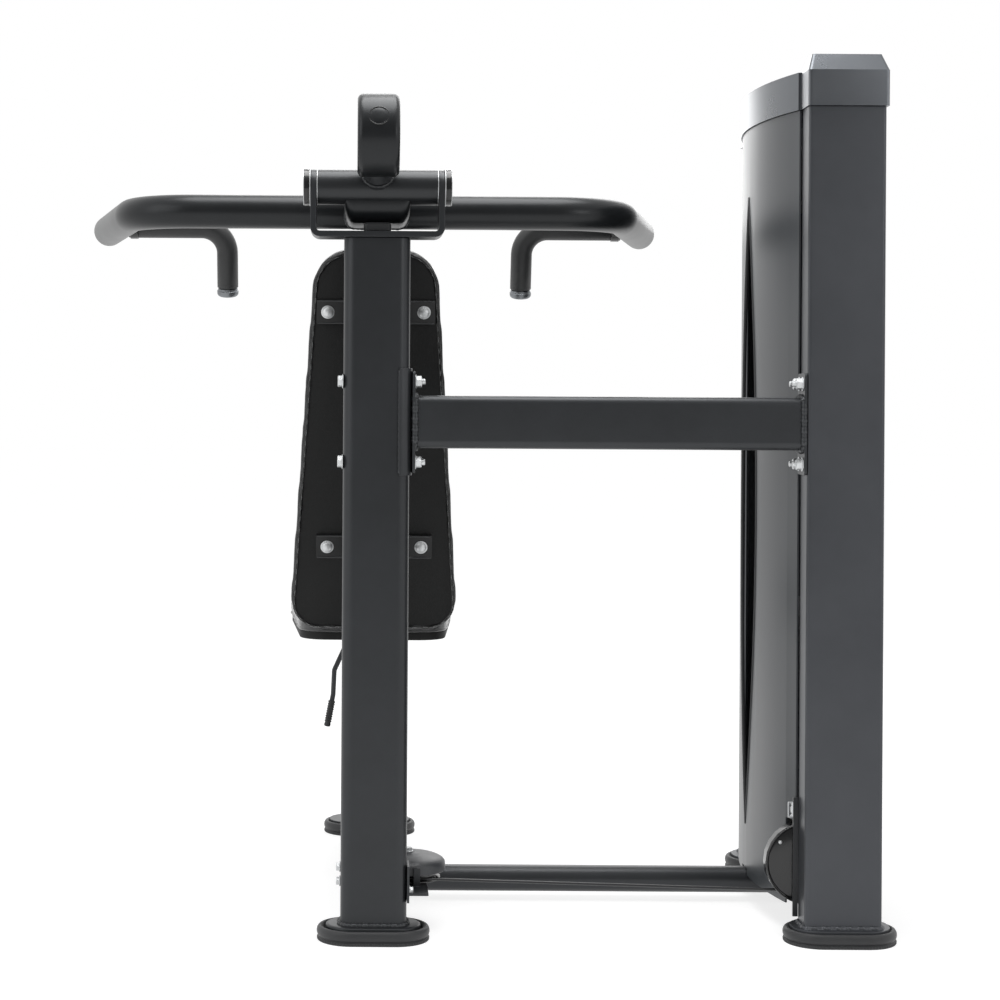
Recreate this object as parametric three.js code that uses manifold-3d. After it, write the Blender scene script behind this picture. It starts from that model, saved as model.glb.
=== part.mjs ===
// Shoulder press machine with a side weight tower, in millimetres, +Z up.
// The origin is the centre of the underside of the rear foot. +Y is the way the user faces,
// and the weight tower stands at +X.
import * as THREE from 'three';
import { mergeVertices } from 'three/addons/utils/BufferGeometryUtils.js';
import Module from 'manifold-3d';

const wasm = await Module();
wasm.setup();

// Clearances and overruns shared by every piece
const FIT = 0.3;
const WELD_OVERLAP = 1;
const CUT_OVERRUN = 8;
const WELD_BEAD = 5;
const TUBE_WALL = 4;

// Rubber feet and the sole plates that sit in them
const FOOT_LENGTH = 193;
const FOOT_DEPTH = 120;
const FOOT_HEIGHT = 24;
const FOOT_RIM = 12;
const FOOT_POCKET = 9;
const FOOT_EDGE = 5;
const SOLE_THICKNESS = 12;

// Rear post of the seat frame
const POST_WIDTH = 113;
const POST_DEPTH = 60;
const POST_CORNER = 20;
const POST_TOP = 1196;

// Base beam and front foot
const BEAM_WIDTH = 60;
const BEAM_HEIGHT = 49;
const BEAM_CORNER = 10;
const FRONT_FOOT_Y = 895;
const FRONT_UPRIGHT = 80;

// Weight tower posts and base
const TOWER_X = 797;
const TOWER_POST_WIDTH = 132;
const TOWER_POST_DEPTH = 60;
const TOWER_POST_CORNER = 6;
const TOWER_DEPTH = 565;
const TOWER_POST_TOP = 1423;
const TOWER_BEAM_WIDTH = 60;
const TOWER_BEAM_BOTTOM = 12;
const TOWER_BEAM_HEIGHT = 50;

// Tubes between the seat frame and the tower
const CROSS_HEIGHT = 90;
const CROSS_DEPTH = 50;
const CROSS_CORNER = 14;
const CROSS_Z = 883;
const CROSS_FLANGE_HEIGHT = 173;
const CROSS_FLANGE_DEPTH = 58;
const CROSS_FLANGE = 4.5;
const SADDLE_HEIGHT = 182;
const SADDLE_REACH = 22;
const SADDLE = 4.5;
const LOWER_TUBE_RADIUS = 24;
const LOWER_TUBE_Y = 300;
const LOWER_TUBE_Z = 37;

// Yoke, pivot and stop on top of the post
const PIVOT_RISE = 87;
const PIVOT_TUBE_RADIUS = 30;
const PIVOT_TUBE_LENGTH = 207;
const PIVOT_BORE_RADIUS = 23;
const PIVOT_SHAFT_RADIUS = 12.5;
const PIVOT_BORE_SIDES = 16;
const BUSH_LENGTH = 24;
const BUSH_SIDES = 14;
const YOKE_PLATE = 10;
const YOKE_DEPTH = 76;
const YOKE_BEND = 16;
const CAP_RADIUS = 31.5;
const CAP_THICKNESS = 12;
const BUMPER_WIDTH = 47;
const BUMPER_DEPTH = 40;

// Press arm
const BAR_RADIUS = 30;
const BAR_WALL = 4;
const BAR_GAP = 9;
const BAR_DROP = 30;
const ARM_CORNER_X = 425;
const ARM_SPLAY = 105;
const ARM_END_Y = 620;
const ARM_BEND_RADIUS = 130;
const NECK_WIDTH = 112;
const NECK_HEIGHT = 60;
const NECK_CORNER = 18;
const NECK_HEEL = 36;
const NECK_WALL = 5;
const ARM_PLUG_DEPTH = 25;
const ARM_PLUG_SHARES = [[0.92, 0.2], [0.6, 0.42], [0, 0.5]];
const VENT_RADIUS = 8;

// Handles
const HANDLE_RADIUS = 17;
const HANDLE_WALL = 3;
const HANDLE_SETBACK = 100;
const HANDLE_X = 288;
const HANDLE_DROP = 122;
const HANDLE_LEAN = 34;
const HANDLE_BEND_RADIUS = 50;
const GRIP_RADIUS = 20.5;
const GRIP_LENGTH = 76;
const GRIP_CAP_RADIUS = 21;
const GRIP_CAP_LENGTH = 10;
const GRIP_CAP_SHARES = [[1, 0.8], [0.85, 1]];

// Counterweight
const COUNTER_RADIUS = 69;
const COUNTER_WIDTH = 70;
const COUNTER_EDGE = 10;
const COUNTER_EDGE_SHARES = [[2, 0], [0.5, 0.5], [0, 1.5]];
const COUNTER_OFFSET = 126;
const COUNTER_ANGLE = THREE.MathUtils.degToRad(142.4);
const STUB_RADIUS = 25;

// Cable, cam and pulleys
const CABLE_RADIUS = 2.5;
const CAM_RADIUS = 105;
const CAM_FLANGE = 6;
const CAM_GROOVE = 7;
const CAM_CHEEK = 2;
const CAM_LOW_ANGLE = THREE.MathUtils.degToRad(-46);
const CAM_HIGH_ANGLE = THREE.MathUtils.degToRad(24);
const ANCHOR_ANGLE = THREE.MathUtils.degToRad(15);
const ANCHOR_RADIUS = 7;
const PULLEY_RADIUS = 50;
const PULLEY_FLANGE = 7;
const PULLEY_WIDTH = 18;
const PULLEY_GROOVE = 12;
const PULLEY_HUB_RADIUS = 16;
const PULLEY_WEB = 8;
const AXLE_RADIUS = 6;
const PULLEY_ROOM = 7;
const CABLE_X = 11.5;
const CABLE_STANDOFF = 17;
const CABLE_LIFT = 15.4;
const CABLE_TOWER_Z = 75;
const FRONT_PULLEY_Y = 235;

// Domed cover and bracket of the side pulley
const COVER_GAP = 5.5;
const COVER_WALL = 2.5;
const COVER_SKIRT_LIFT = 6;
const COVER_SKIRT = 16;
const COVER_DOME = 14;
const COVER_BEVEL_SHARE = 0.9;
const COVER_CROWN_SHARE = 0.55;
const COVER_FALL_SHARES = { crown: 0.8, bevel: 2.2 };
const SIDE_BRACKET_HEIGHT = 62;
const SIDE_BRACKET_HALF = 26;

// Dished cover and axle of the pulley by the foot of the tower
const DISH_GAP = 10.5;
const DISH_WALL = 2.5;
const DISH_BEHIND = 14;
const DISH_AHEAD = 13;
const DISH_CROWN = 1.8;
const DISH_RIM_SHARES = { flat: 0.5, inner: 0.85, outer: 0.9 };
const TOWER_AXLE_PROUD = 2;

// Weight stack
const PLATE_WIDTH = 104;
const PLATE_ROOM = 87.5;
const PLATE_PITCH = 25;
const PLATE_GROOVE = 2;
const PLATE_GAP = 0.4;
const BUFFER_ROOM = 60;
const LIFTED_PLATE_COUNT = 3;
const RESTING_PLATE_COUNT = 13;
const HEAD_HEIGHT = 38;
const HEAD_INSET = 15;
const ROD_RADIUS = 10;
const ROD_INSET = 45;
const ROD_CLEARANCE = 1;
const STEM_RADIUS = 12;
const PIN_RADIUS = 4.5;
const PIN_KNOB_RADIUS = 15;
const PIN_KNOB_LENGTH = 32;
const PIN_KNOB_SHARES = [[0.6, 0], [0.6, 0.35], [1, 0.5], [1, 0.85], [0.8, 1]];
const BUFFER_RADIUS = 26;

// Top beam, shrouds and cap of the tower
const TOP_BEAM_DROP = 5;
const SHROUD_BULGE = 38;
const SHROUD_WALL = 3;
const SHROUD_BOTTOM = 50;
const SHROUD_INSET = 4;
const WINDOW_BOTTOM = 143;
const WINDOW_DROP = 127;
const WINDOW_WIDTH = 150;
const WINDOW_SHIFT = 9.5;
const CAP_BAND = 65;
const CAP_RISE = 90;
const CAP_BLOCK_STEP = 4;
const CAP_OVERHANG = 3;
const CAP_BLOCK_DEPTH = 80;
const CAP_CHAMFER = 20;
const CAP_SIDE_SHARE = 0.5;
const CAP_WALL = 5;

// Back pad
const PAD_TILT = THREE.MathUtils.degToRad(12.5);
const PAD_STANDOFF = 121.2;
const PAD_DROP = 65;
const PAD_LENGTH = 715;
const PAD_TOP_WIDTH = 232;
const PAD_BOTTOM_WIDTH = 312;
const PAD_TOP_CORNER = 72;
const PAD_BOTTOM_CORNER = 55;
const PAD_BOARD = 15;
const PAD_BOARD_INSET = 6;
const PAD_FOAM = 62;
const STRAP_WIDTH = 212;
const STRAP_HEIGHT = 43;
const STRAP = 6;
const UPPER_STRAP_DROP = 113;
const LOWER_STRAP_LIFT = 165;
const BRACKET_GAUGE = 84;
const BRACKET_HEIGHT = 60;

// A stuffed cushion's rings: how far each is drawn in and how high it stands
const CUSHION_DRAW = 62;
const CUSHION_SHARES = [
  [0.10, 0], [0.03, 0.06], [0, 0.22], [0.01, 0.5], [0.05, 0.72], [0.14, 0.86], [0.34, 0.95], [0.62, 0.985],
];

// Seat
const SEAT_GAP = 10.5;
const SEAT_LENGTH = 400;
const SEAT_REAR_WIDTH = 292;
const SEAT_FRONT_WIDTH = 336;
const SEAT_CORNER = 60;
const SEAT_BOARD_BOTTOM = 463.3;
const SEAT_BOARD = 15;
const SEAT_FOAM = 66;
const STEM_TUBE = 60;
const STEM_BOTTOM = 200;
const STEM_PLATE = 8;
const STEM_PLATE_WIDTH = 160;
const STEM_PLATE_LENGTH = 240;
const SLEEVE_TUBE = 76;
const SLEEVE_TOP = 315;
const SLEEVE_COLLAR = 8;
const SLEEVE_BUSH = 60;
const SLEEVE_FOOT = 120;
const LEVER_SETBACK = 22;
const LEVER_RADIUS = 5;
const LEVER_PIVOT_X = 50;
const LEVER_PIVOT_DROP = 18;
const LEVER_ELBOW_X = 74;
const LEVER_ELBOW_DROP = 71;
const LEVER_KNEE_X = 76;
const LEVER_KNEE_DROP = 119;
const LEVER_END_X = 87;
const LEVER_END_DROP = 178;
const LEVER_GRIP_RADIUS = 8;
const LEVER_TIP_SHARE = 0.7;
const LEVER_BOSS_RADIUS = 13;
const LEVER_BOSS = 12;

// Finishes
const FINISHES = {
  frame: { color: 0x38393c, roughness: 0.55, metalness: 0.3 },
  tower: { color: 0x47494d, roughness: 0.55, metalness: 0.3 },
  panel: { color: 0x54575b, roughness: 0.45, metalness: 0.1 },
  cap: { color: 0x5a5c60, roughness: 0.4, metalness: 0.1 },
  rubber: { color: 0x2b2c2e, roughness: 0.85, metalness: 0 },
  vinyl: { color: 0x1e1f21, roughness: 0.7, metalness: 0 },
  board: { color: 0x1c1d1e, roughness: 0.9, metalness: 0 },
  plastic: { color: 0x1a1b1d, roughness: 0.3, metalness: 0 },
  zinc: { color: 0xb9bbbd, roughness: 0.35, metalness: 1 },
  chrome: { color: 0xd6d8da, roughness: 0.15, metalness: 1 },
  iron: { color: 0x2a2b2d, roughness: 0.6, metalness: 0.6 },
  cable: { color: 0x17181a, roughness: 0.5, metalness: 0 },
};

// Places worked out from the driving sizes
const SOLE_BOTTOM = FOOT_HEIGHT - FOOT_POCKET + FIT;
const SOLE_TOP = SOLE_BOTTOM + SOLE_THICKNESS;
const BEAM_BOTTOM = SOLE_TOP + FIT;
const POST_FRONT = POST_DEPTH / 2;
const POST_SIDE = POST_WIDTH / 2;
const BEAM_TOP = BEAM_BOTTOM + BEAM_HEIGHT;
const TOWER_LEFT = TOWER_X - TOWER_POST_WIDTH / 2;
const TOWER_FRONT_Y = TOWER_DEPTH - TOWER_POST_DEPTH / 2;
const TOWER_REAR_Y = TOWER_POST_DEPTH / 2;
const TOWER_BEAM_TOP = TOWER_BEAM_BOTTOM + TOWER_BEAM_HEIGHT;
const PIVOT_Z = POST_TOP + PIVOT_RISE;
const BAR_Z = PIVOT_Z - BAR_DROP;
const BAR_Y = CAM_RADIUS + CAM_FLANGE + BAR_GAP + BAR_RADIUS;
const ARM_END_X = ARM_CORNER_X + ARM_SPLAY;
const ARM_ANGLE = Math.atan2(ARM_SPLAY, ARM_END_Y - BAR_Y);
const HANDLE_Y = ARM_END_Y - HANDLE_SETBACK;
const CABLE_LANE_Y = Math.max(POST_FRONT, TOWER_REAR_Y) + CABLE_STANDOFF;
const CABLE_LOW_Z = BEAM_TOP + CABLE_LIFT;
const COVER_RADIUS = PULLEY_RADIUS + PULLEY_FLANGE + COVER_GAP + COVER_WALL;
const COVER_SKIRT_BOTTOM = CABLE_LOW_Z + COVER_SKIRT_LIFT;
const COVER_SKIRT_TOP = COVER_SKIRT_BOTTOM + COVER_SKIRT;
const COVER_TOP = COVER_SKIRT_TOP + COVER_DOME;
const DISH_RADIUS = PULLEY_RADIUS + PULLEY_FLANGE + DISH_GAP + DISH_WALL;
const DISH_BACK = CABLE_LANE_Y - DISH_BEHIND;
const DISH_FRONT = CABLE_LANE_Y + DISH_AHEAD;
const STACK_Y = TOWER_DEPTH / 2;
const STACK_BOTTOM = TOWER_BEAM_TOP + BUFFER_ROOM;
const STACK_TOP = STACK_BOTTOM + (LIFTED_PLATE_COUNT + RESTING_PLATE_COUNT) * PLATE_PITCH;
const PLATE_DEPTH = TOWER_DEPTH - TOWER_POST_DEPTH - 2 * PLATE_ROOM;
const HEAD_DEPTH = PLATE_DEPTH - 2 * HEAD_INSET;
const ROD_SPACING = PLATE_DEPTH - 2 * ROD_INSET;
const TOP_BEAM_TOP = TOWER_POST_TOP - TOP_BEAM_DROP;
const CABLE_TOP_Z = TOP_BEAM_TOP - TUBE_WALL - PULLEY_ROOM - PULLEY_FLANGE;
const TOP_BEAM_BOTTOM = CABLE_TOP_Z - 2 * PULLEY_RADIUS - PULLEY_FLANGE - PULLEY_ROOM - TUBE_WALL;
const WINDOW_TOP = TOWER_POST_TOP - WINDOW_DROP;
const WINDOW_Y = STACK_Y + WINDOW_SHIFT;
const CAP_BAND_TOP = TOWER_POST_TOP + CAP_BAND;
const CAP_TOP = TOWER_POST_TOP + CAP_RISE;
const CAP_SHOULDER = CAP_BAND_TOP - CAP_BLOCK_STEP;
const PAD_BOTTOM_Y = POST_FRONT + PAD_STANDOFF + PAD_LENGTH * Math.sin(PAD_TILT);
const PAD_BOTTOM_Z = BAR_Z - PAD_DROP - PAD_LENGTH * Math.cos(PAD_TILT);
const PAD_FRONT_Y = PAD_BOTTOM_Y + (PAD_BOARD + FIT + PAD_FOAM) * Math.cos(PAD_TILT);
const SEAT_Y = PAD_FRONT_Y + SEAT_GAP + SEAT_LENGTH / 2;
const STEM_PLATE_BOTTOM = SEAT_BOARD_BOTTOM - FIT - STEM_PLATE;
const LEVER_Y = SEAT_Y - LEVER_SETBACK;
const LEVER_PIVOT_Z = STEM_PLATE_BOTTOM - LEVER_PIVOT_DROP;
const YOKE_INNER = PIVOT_TUBE_LENGTH / 2 + 2 * FIT;
const YOKE_OUTER = YOKE_INNER + YOKE_PLATE;
const YOKE_BOTTOM = POST_TOP + FIT;
const SEAT_FOAM_BOTTOM = SEAT_BOARD_BOTTOM + SEAT_BOARD + FIT;

// Outlines

function arcPoints(cx, cy, radius, start, end, steps) {
  const points = [];
  for (let i = 0; i <= steps; i += 1) {
    const angle = start + (end - start) * i / steps;
    points.push(new THREE.Vector2(cx + radius * Math.cos(angle), cy + radius * Math.sin(angle)));
  }
  return points;
}

function circlePoints(radius, sides, cx = 0, cy = 0) {
  return arcPoints(cx, cy, radius, 0, 2 * Math.PI * (1 - 1 / sides), sides - 1);
}

function roundedRect(width, height, radius, steps = 4) {
  const x = width / 2 - radius;
  const y = height / 2 - radius;
  const quarter = Math.PI / 2;
  return [
    ...arcPoints(x, y, radius, 0, quarter, steps),
    ...arcPoints(-x, y, radius, quarter, 2 * quarter, steps),
    ...arcPoints(-x, -y, radius, 2 * quarter, 3 * quarter, steps),
    ...arcPoints(x, -y, radius, 3 * quarter, 4 * quarter, steps),
  ];
}

function outline(points, ...holes) {
  const shape = new THREE.Shape(points);
  for (const hole of holes) {
    shape.holes.push(new THREE.Path(hole));
  }
  return shape;
}

function tubeOutline(width, height, radius, wall, steps = 4) {
  const inner = roundedRect(width - 2 * wall, height - 2 * wall, Math.max(radius - wall, wall / 2), steps);
  return outline(roundedRect(width, height, radius, steps), inner);
}

// Solids. Each builder returns a manifold, and build() turns it into a mesh.

// Radius of a many-sided bore whose flats clear a round piece of the given radius
function around(radius, sides) {
  return (radius + FIT) / Math.cos(Math.PI / sides);
}

// Radius of a round piece that clears the flats of a many-sided bore
function within(radius, sides) {
  return radius * Math.cos(Math.PI / sides) - FIT;
}

function solid(geometry) {
  const bare = geometry.clone();
  bare.deleteAttribute('normal');
  bare.deleteAttribute('uv');
  const merged = mergeVertices(bare);
  return new wasm.Manifold(new wasm.Mesh({
    numProp: 3,
    vertProperties: new Float32Array(merged.attributes.position.array),
    triVerts: new Uint32Array(merged.index.array),
  }));
}

function join(first, ...others) {
  return others.reduce((sum, piece) => sum.add(piece), first);
}

function cut(base, ...tools) {
  return tools.reduce((rest, tool) => rest.subtract(tool), base);
}

function prismZ(shape, from, to, x = 0, y = 0, bevel = 0) {
  const geometry = new THREE.ExtrudeGeometry(shape, {
    depth: to - from - 2 * bevel,
    bevelEnabled: bevel > 0,
    bevelSize: bevel,
    bevelThickness: bevel,
    bevelOffset: -bevel,
    bevelSegments: 1,
  });
  geometry.translate(x, y, from + bevel);
  return solid(geometry);
}

// The section's first axis lies along +Y and its second along +Z.
function prismX(shape, from, to, y = 0, z = 0) {
  const geometry = new THREE.ExtrudeGeometry(shape, { depth: to - from, bevelEnabled: false });
  geometry.applyMatrix4(new THREE.Matrix4().makeBasis(
    new THREE.Vector3(0, 1, 0),
    new THREE.Vector3(0, 0, 1),
    new THREE.Vector3(1, 0, 0),
  ));
  geometry.translate(from, y, z);
  return solid(geometry);
}

// The section's first axis lies along +X and its second along +Z.
function prismY(shape, from, to, x = 0, z = 0) {
  const geometry = new THREE.ExtrudeGeometry(shape, { depth: to - from, bevelEnabled: false });
  geometry.rotateX(Math.PI / 2);
  geometry.translate(x, to, z);
  return solid(geometry);
}

function block(x0, x1, y0, y1, z0, z1) {
  const geometry = new THREE.BoxGeometry(x1 - x0, y1 - y0, z1 - z0);
  geometry.translate((x0 + x1) / 2, (y0 + y1) / 2, (z0 + z1) / 2);
  return solid(geometry);
}

// A turned solid about +Z from a profile of [radius, height] pairs.
function turned(profile, sides) {
  const points = profile.map(([radius, height]) => new THREE.Vector2(radius, height));
  const geometry = new THREE.LatheGeometry(points, sides);
  geometry.rotateX(Math.PI / 2);
  return geometry;
}

// Stands a geometry that was made about +Z along a direction at a place.
function aimed(geometry, direction, place) {
  const turn = new THREE.Quaternion().setFromUnitVectors(
    new THREE.Vector3(0, 0, 1),
    direction.clone().normalize(),
  );
  geometry.applyQuaternion(turn);
  geometry.translate(place.x, place.y, place.z);
  return solid(geometry);
}

function rod(radius, start, end, sides = 20) {
  const direction = end.clone().sub(start);
  const geometry = new THREE.CylinderGeometry(radius, radius, direction.length(), sides);
  geometry.rotateX(Math.PI / 2);
  return aimed(geometry, direction, start.clone().add(end).multiplyScalar(0.5));
}

// A path through given points, so that a swept tube has one ring at each of them.
class Route extends THREE.Curve {
  constructor(points) {
    super();
    this.points = points;
  }

  getPoint(t, target = new THREE.Vector3()) {
    const place = t * (this.points.length - 1);
    const index = Math.min(Math.floor(place), this.points.length - 2);
    return target.lerpVectors(this.points[index], this.points[index + 1], place - index);
  }

  getPointAt(u, target) {
    return this.getPoint(u, target);
  }

  getTangentAt(u, target = new THREE.Vector3()) {
    const index = Math.round(u * (this.points.length - 1));
    const before = this.points[Math.max(index - 1, 0)];
    const after = this.points[Math.min(index + 1, this.points.length - 1)];
    return target.subVectors(after, before).normalize();
  }

  getSpacedPoints() {
    return this.points;
  }
}

function swept(shape, points) {
  const geometry = new THREE.ExtrudeGeometry(shape, {
    steps: points.length - 1,
    extrudePath: new Route(points),
  });
  return solid(geometry);
}

// The arc that rounds the corner b between a and c.
function cornerArc(a, b, c, radius, steps) {
  const back = a.clone().sub(b).normalize();
  const ahead = c.clone().sub(b).normalize();
  const half = back.angleTo(ahead) / 2;
  const turn = Math.PI - 2 * half;
  const start = b.clone().addScaledVector(back, radius / Math.tan(half));
  const end = b.clone().addScaledVector(ahead, radius / Math.tan(half));
  const centre = b.clone().addScaledVector(back.clone().add(ahead).normalize(), radius / Math.sin(half));
  const points = [];
  for (let i = 0; i <= steps; i += 1) {
    const angle = turn * i / steps;
    const point = centre.clone();
    point.addScaledVector(start.clone().sub(centre), Math.sin(turn - angle) / Math.sin(turn));
    point.addScaledVector(end.clone().sub(centre), Math.sin(angle) / Math.sin(turn));
    points.push(point);
  }
  return { points, centre, axis: back.clone().cross(ahead).normalize() };
}

function filleted(corners, radius, steps) {
  const points = [corners[0]];
  for (let i = 1; i < corners.length - 1; i += 1) {
    points.push(...cornerArc(corners[i - 1], corners[i], corners[i + 1], radius, steps).points);
  }
  points.push(corners[corners.length - 1]);
  return points;
}

const vector = (x, y, z) => new THREE.Vector3(x, y, z);

// Assembly

const machine = new THREE.Group();

function build(name, manifold, finish, parent = machine) {
  const mesh = manifold.getMesh();
  const geometry = new THREE.BufferGeometry();
  geometry.setAttribute('position', new THREE.BufferAttribute(new Float32Array(mesh.vertProperties), 3));
  geometry.setIndex(new THREE.BufferAttribute(new Uint32Array(mesh.triVerts), 1));
  geometry.computeVertexNormals();
  const node = new THREE.Mesh(geometry, new THREE.MeshStandardMaterial(FINISHES[finish]));
  node.name = name;
  parent.add(node);
}

// Feet and posts

function rubberFoot(x, y) {
  const pad = prismZ(
    outline(roundedRect(FOOT_LENGTH, FOOT_DEPTH, FOOT_DEPTH / 2 - FOOT_EDGE, 6)),
    0,
    FOOT_HEIGHT,
    x,
    y,
    FOOT_EDGE,
  );
  const inner = FOOT_DEPTH - 2 * FOOT_RIM;
  const pocket = prismZ(
    outline(roundedRect(FOOT_LENGTH - 2 * FOOT_RIM, inner, inner / 2 - FOOT_EDGE, 5)),
    FOOT_HEIGHT - FOOT_POCKET,
    FOOT_HEIGHT + CUT_OVERRUN,
    x,
    y,
  );
  return cut(pad, pocket);
}

function solePlate(x, y) {
  const inset = FOOT_RIM + 2 * FIT;
  const depth = FOOT_DEPTH - 2 * inset;
  const shape = outline(roundedRect(FOOT_LENGTH - 2 * inset, depth, depth / 2 - FOOT_EDGE, 5));
  return prismZ(shape, SOLE_BOTTOM, SOLE_TOP, x, y);
}

function weldBead(width, depth, corner, steps, z, x, y) {
  const shape = outline(roundedRect(width + 2 * WELD_BEAD, depth + 2 * WELD_BEAD, corner + WELD_BEAD, steps));
  const low = z - WELD_BEAD;
  const bead = prismZ(shape, low, z + WELD_BEAD, x, y, WELD_BEAD - FIT);
  const belowPlate = block(
    x - width,
    x + width,
    y - width,
    y + width,
    low - WELD_BEAD,
    z - WELD_OVERLAP,
  );
  const bore = prismZ(
    outline(roundedRect(width - TUBE_WALL, depth - TUBE_WALL, corner, steps)),
    low - WELD_BEAD,
    z + 2 * WELD_BEAD,
    x,
    y,
  );
  return cut(bead, belowPlate, bore);
}

function standingPost(width, depth, corner, steps, top, x, y) {
  const section = tubeOutline(width, depth, corner, TUBE_WALL, steps);
  const tube = prismZ(section, SOLE_TOP - WELD_OVERLAP, top, x, y);
  return join(solePlate(x, y), tube, weldBead(width, depth, corner, steps, SOLE_TOP, x, y));
}

function rearPost() {
  const around = outline(
    roundedRect(POST_WIDTH + 2 * SADDLE, POST_DEPTH + 2 * SADDLE, POST_CORNER + SADDLE, 4),
    roundedRect(POST_WIDTH - WELD_OVERLAP, POST_DEPTH - WELD_OVERLAP, POST_CORNER, 4),
  );
  const low = CROSS_Z - SADDLE_HEIGHT / 2;
  const high = CROSS_Z + SADDLE_HEIGHT / 2;
  const saddle = cut(
    prismZ(around, low, high),
    block(
      -POST_WIDTH,
      POST_SIDE + SADDLE - SADDLE_REACH,
      -POST_DEPTH,
      POST_DEPTH,
      low - CUT_OVERRUN,
      high + CUT_OVERRUN,
    ),
  );
  const post = standingPost(POST_WIDTH, POST_DEPTH, POST_CORNER, 4, POST_TOP, 0, 0);
  const beamRoom = block(
    -BEAM_WIDTH / 2 - FIT,
    BEAM_WIDTH / 2 + FIT,
    POST_FRONT,
    FOOT_DEPTH,
    SOLE_TOP,
    BEAM_TOP + FIT,
  );
  return join(cut(post, beamRoom), saddle);
}

build('rear_post', rearPost(), 'frame');
build('rear_foot', rubberFoot(0, 0), 'rubber');
build('front_foot', rubberFoot(0, FRONT_FOOT_Y), 'rubber');
build('tower_rear_foot', rubberFoot(TOWER_X, 0), 'rubber');
build('tower_front_foot', rubberFoot(TOWER_X, TOWER_DEPTH), 'rubber');

function towerPost(y) {
  return standingPost(TOWER_POST_WIDTH, TOWER_POST_DEPTH, TOWER_POST_CORNER, 2, TOWER_POST_TOP, TOWER_X, y);
}

build('tower_rear_post', towerPost(0), 'tower');
build('tower_front_post', towerPost(TOWER_DEPTH), 'tower');

// Base beam with the plate that stands in the front foot

function baseBeam() {
  const shape = tubeOutline(BEAM_WIDTH, BEAM_HEIGHT, BEAM_CORNER, TUBE_WALL, 3);
  const end = FRONT_FOOT_Y + FRONT_UPRIGHT / 2;
  const tube = prismY(shape, POST_FRONT + FIT, end, 0, BEAM_BOTTOM + BEAM_HEIGHT / 2);
  const sole = solePlate(0, FRONT_FOOT_Y);
  const riser = block(
    -BEAM_WIDTH / 2,
    BEAM_WIDTH / 2,
    FRONT_FOOT_Y - FRONT_UPRIGHT / 2,
    end,
    SOLE_TOP - WELD_OVERLAP,
    BEAM_BOTTOM + TUBE_WALL,
  );
  const endPlate = block(
    -BEAM_WIDTH / 2,
    BEAM_WIDTH / 2,
    end - WELD_OVERLAP,
    end + TUBE_WALL,
    BEAM_BOTTOM,
    BEAM_TOP,
  );
  return join(tube, sole, riser, endPlate);
}

build('base_beam', baseBeam(), 'frame');

// Cross tubes

const FLANGE_LEFT = POST_SIDE + SADDLE + FIT;
const FLANGE_RIGHT = TOWER_LEFT - FIT;

function upperCrossTube() {
  const section = tubeOutline(CROSS_DEPTH, CROSS_HEIGHT, CROSS_CORNER, TUBE_WALL, 3);
  const tube = prismX(section, FLANGE_LEFT + WELD_OVERLAP, FLANGE_RIGHT - WELD_OVERLAP, 0, CROSS_Z);
  const plate = outline(
    roundedRect(CROSS_FLANGE_DEPTH, CROSS_FLANGE_HEIGHT, CROSS_CORNER / 2, 2),
    circlePoints(VENT_RADIUS, 10),
  );
  const left = prismX(plate, FLANGE_LEFT, FLANGE_LEFT + CROSS_FLANGE, 0, CROSS_Z);
  const right = prismX(plate, FLANGE_RIGHT - CROSS_FLANGE, FLANGE_RIGHT, 0, CROSS_Z);
  const beadShape = outline(
    roundedRect(CROSS_DEPTH + WELD_BEAD, CROSS_HEIGHT + WELD_BEAD, CROSS_CORNER, 3),
    roundedRect(CROSS_DEPTH - TUBE_WALL, CROSS_HEIGHT - TUBE_WALL, CROSS_CORNER, 3),
  );
  const reach = CROSS_FLANGE + WELD_BEAD;
  const leftBead = prismX(beadShape, FLANGE_LEFT + WELD_OVERLAP, FLANGE_LEFT + reach, 0, CROSS_Z);
  const rightBead = prismX(beadShape, FLANGE_RIGHT - reach, FLANGE_RIGHT - WELD_OVERLAP, 0, CROSS_Z);
  return join(tube, left, right, leftBead, rightBead);
}

build('upper_cross_tube', upperCrossTube(), 'frame');

const LOWER_TUBE_START = BEAM_WIDTH / 2 + FIT;
const LOWER_TUBE_END = TOWER_X - TOWER_BEAM_WIDTH / 2 - FIT;

function lowerCrossTube() {
  const inner = circlePoints(LOWER_TUBE_RADIUS - TUBE_WALL, 12);
  const shape = outline(circlePoints(LOWER_TUBE_RADIUS, 20), inner);
  return prismX(shape, LOWER_TUBE_START, LOWER_TUBE_END, LOWER_TUBE_Y, LOWER_TUBE_Z);
}

build('lower_cross_tube', lowerCrossTube(), 'frame');

// Tower base and top beams

function towerBaseBeam() {
  const shape = tubeOutline(TOWER_BEAM_WIDTH, TOWER_BEAM_HEIGHT, TUBE_WALL * 2, TUBE_WALL, 2);
  const middle = TOWER_BEAM_BOTTOM + TOWER_BEAM_HEIGHT / 2;
  const ends = FOOT_DEPTH / 2 + FOOT_RIM;
  return prismY(shape, ends, TOWER_DEPTH - ends, TOWER_X, middle);
}

build('tower_base_beam', towerBaseBeam(), 'tower');

// Yoke, pivot shaft and stop

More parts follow.
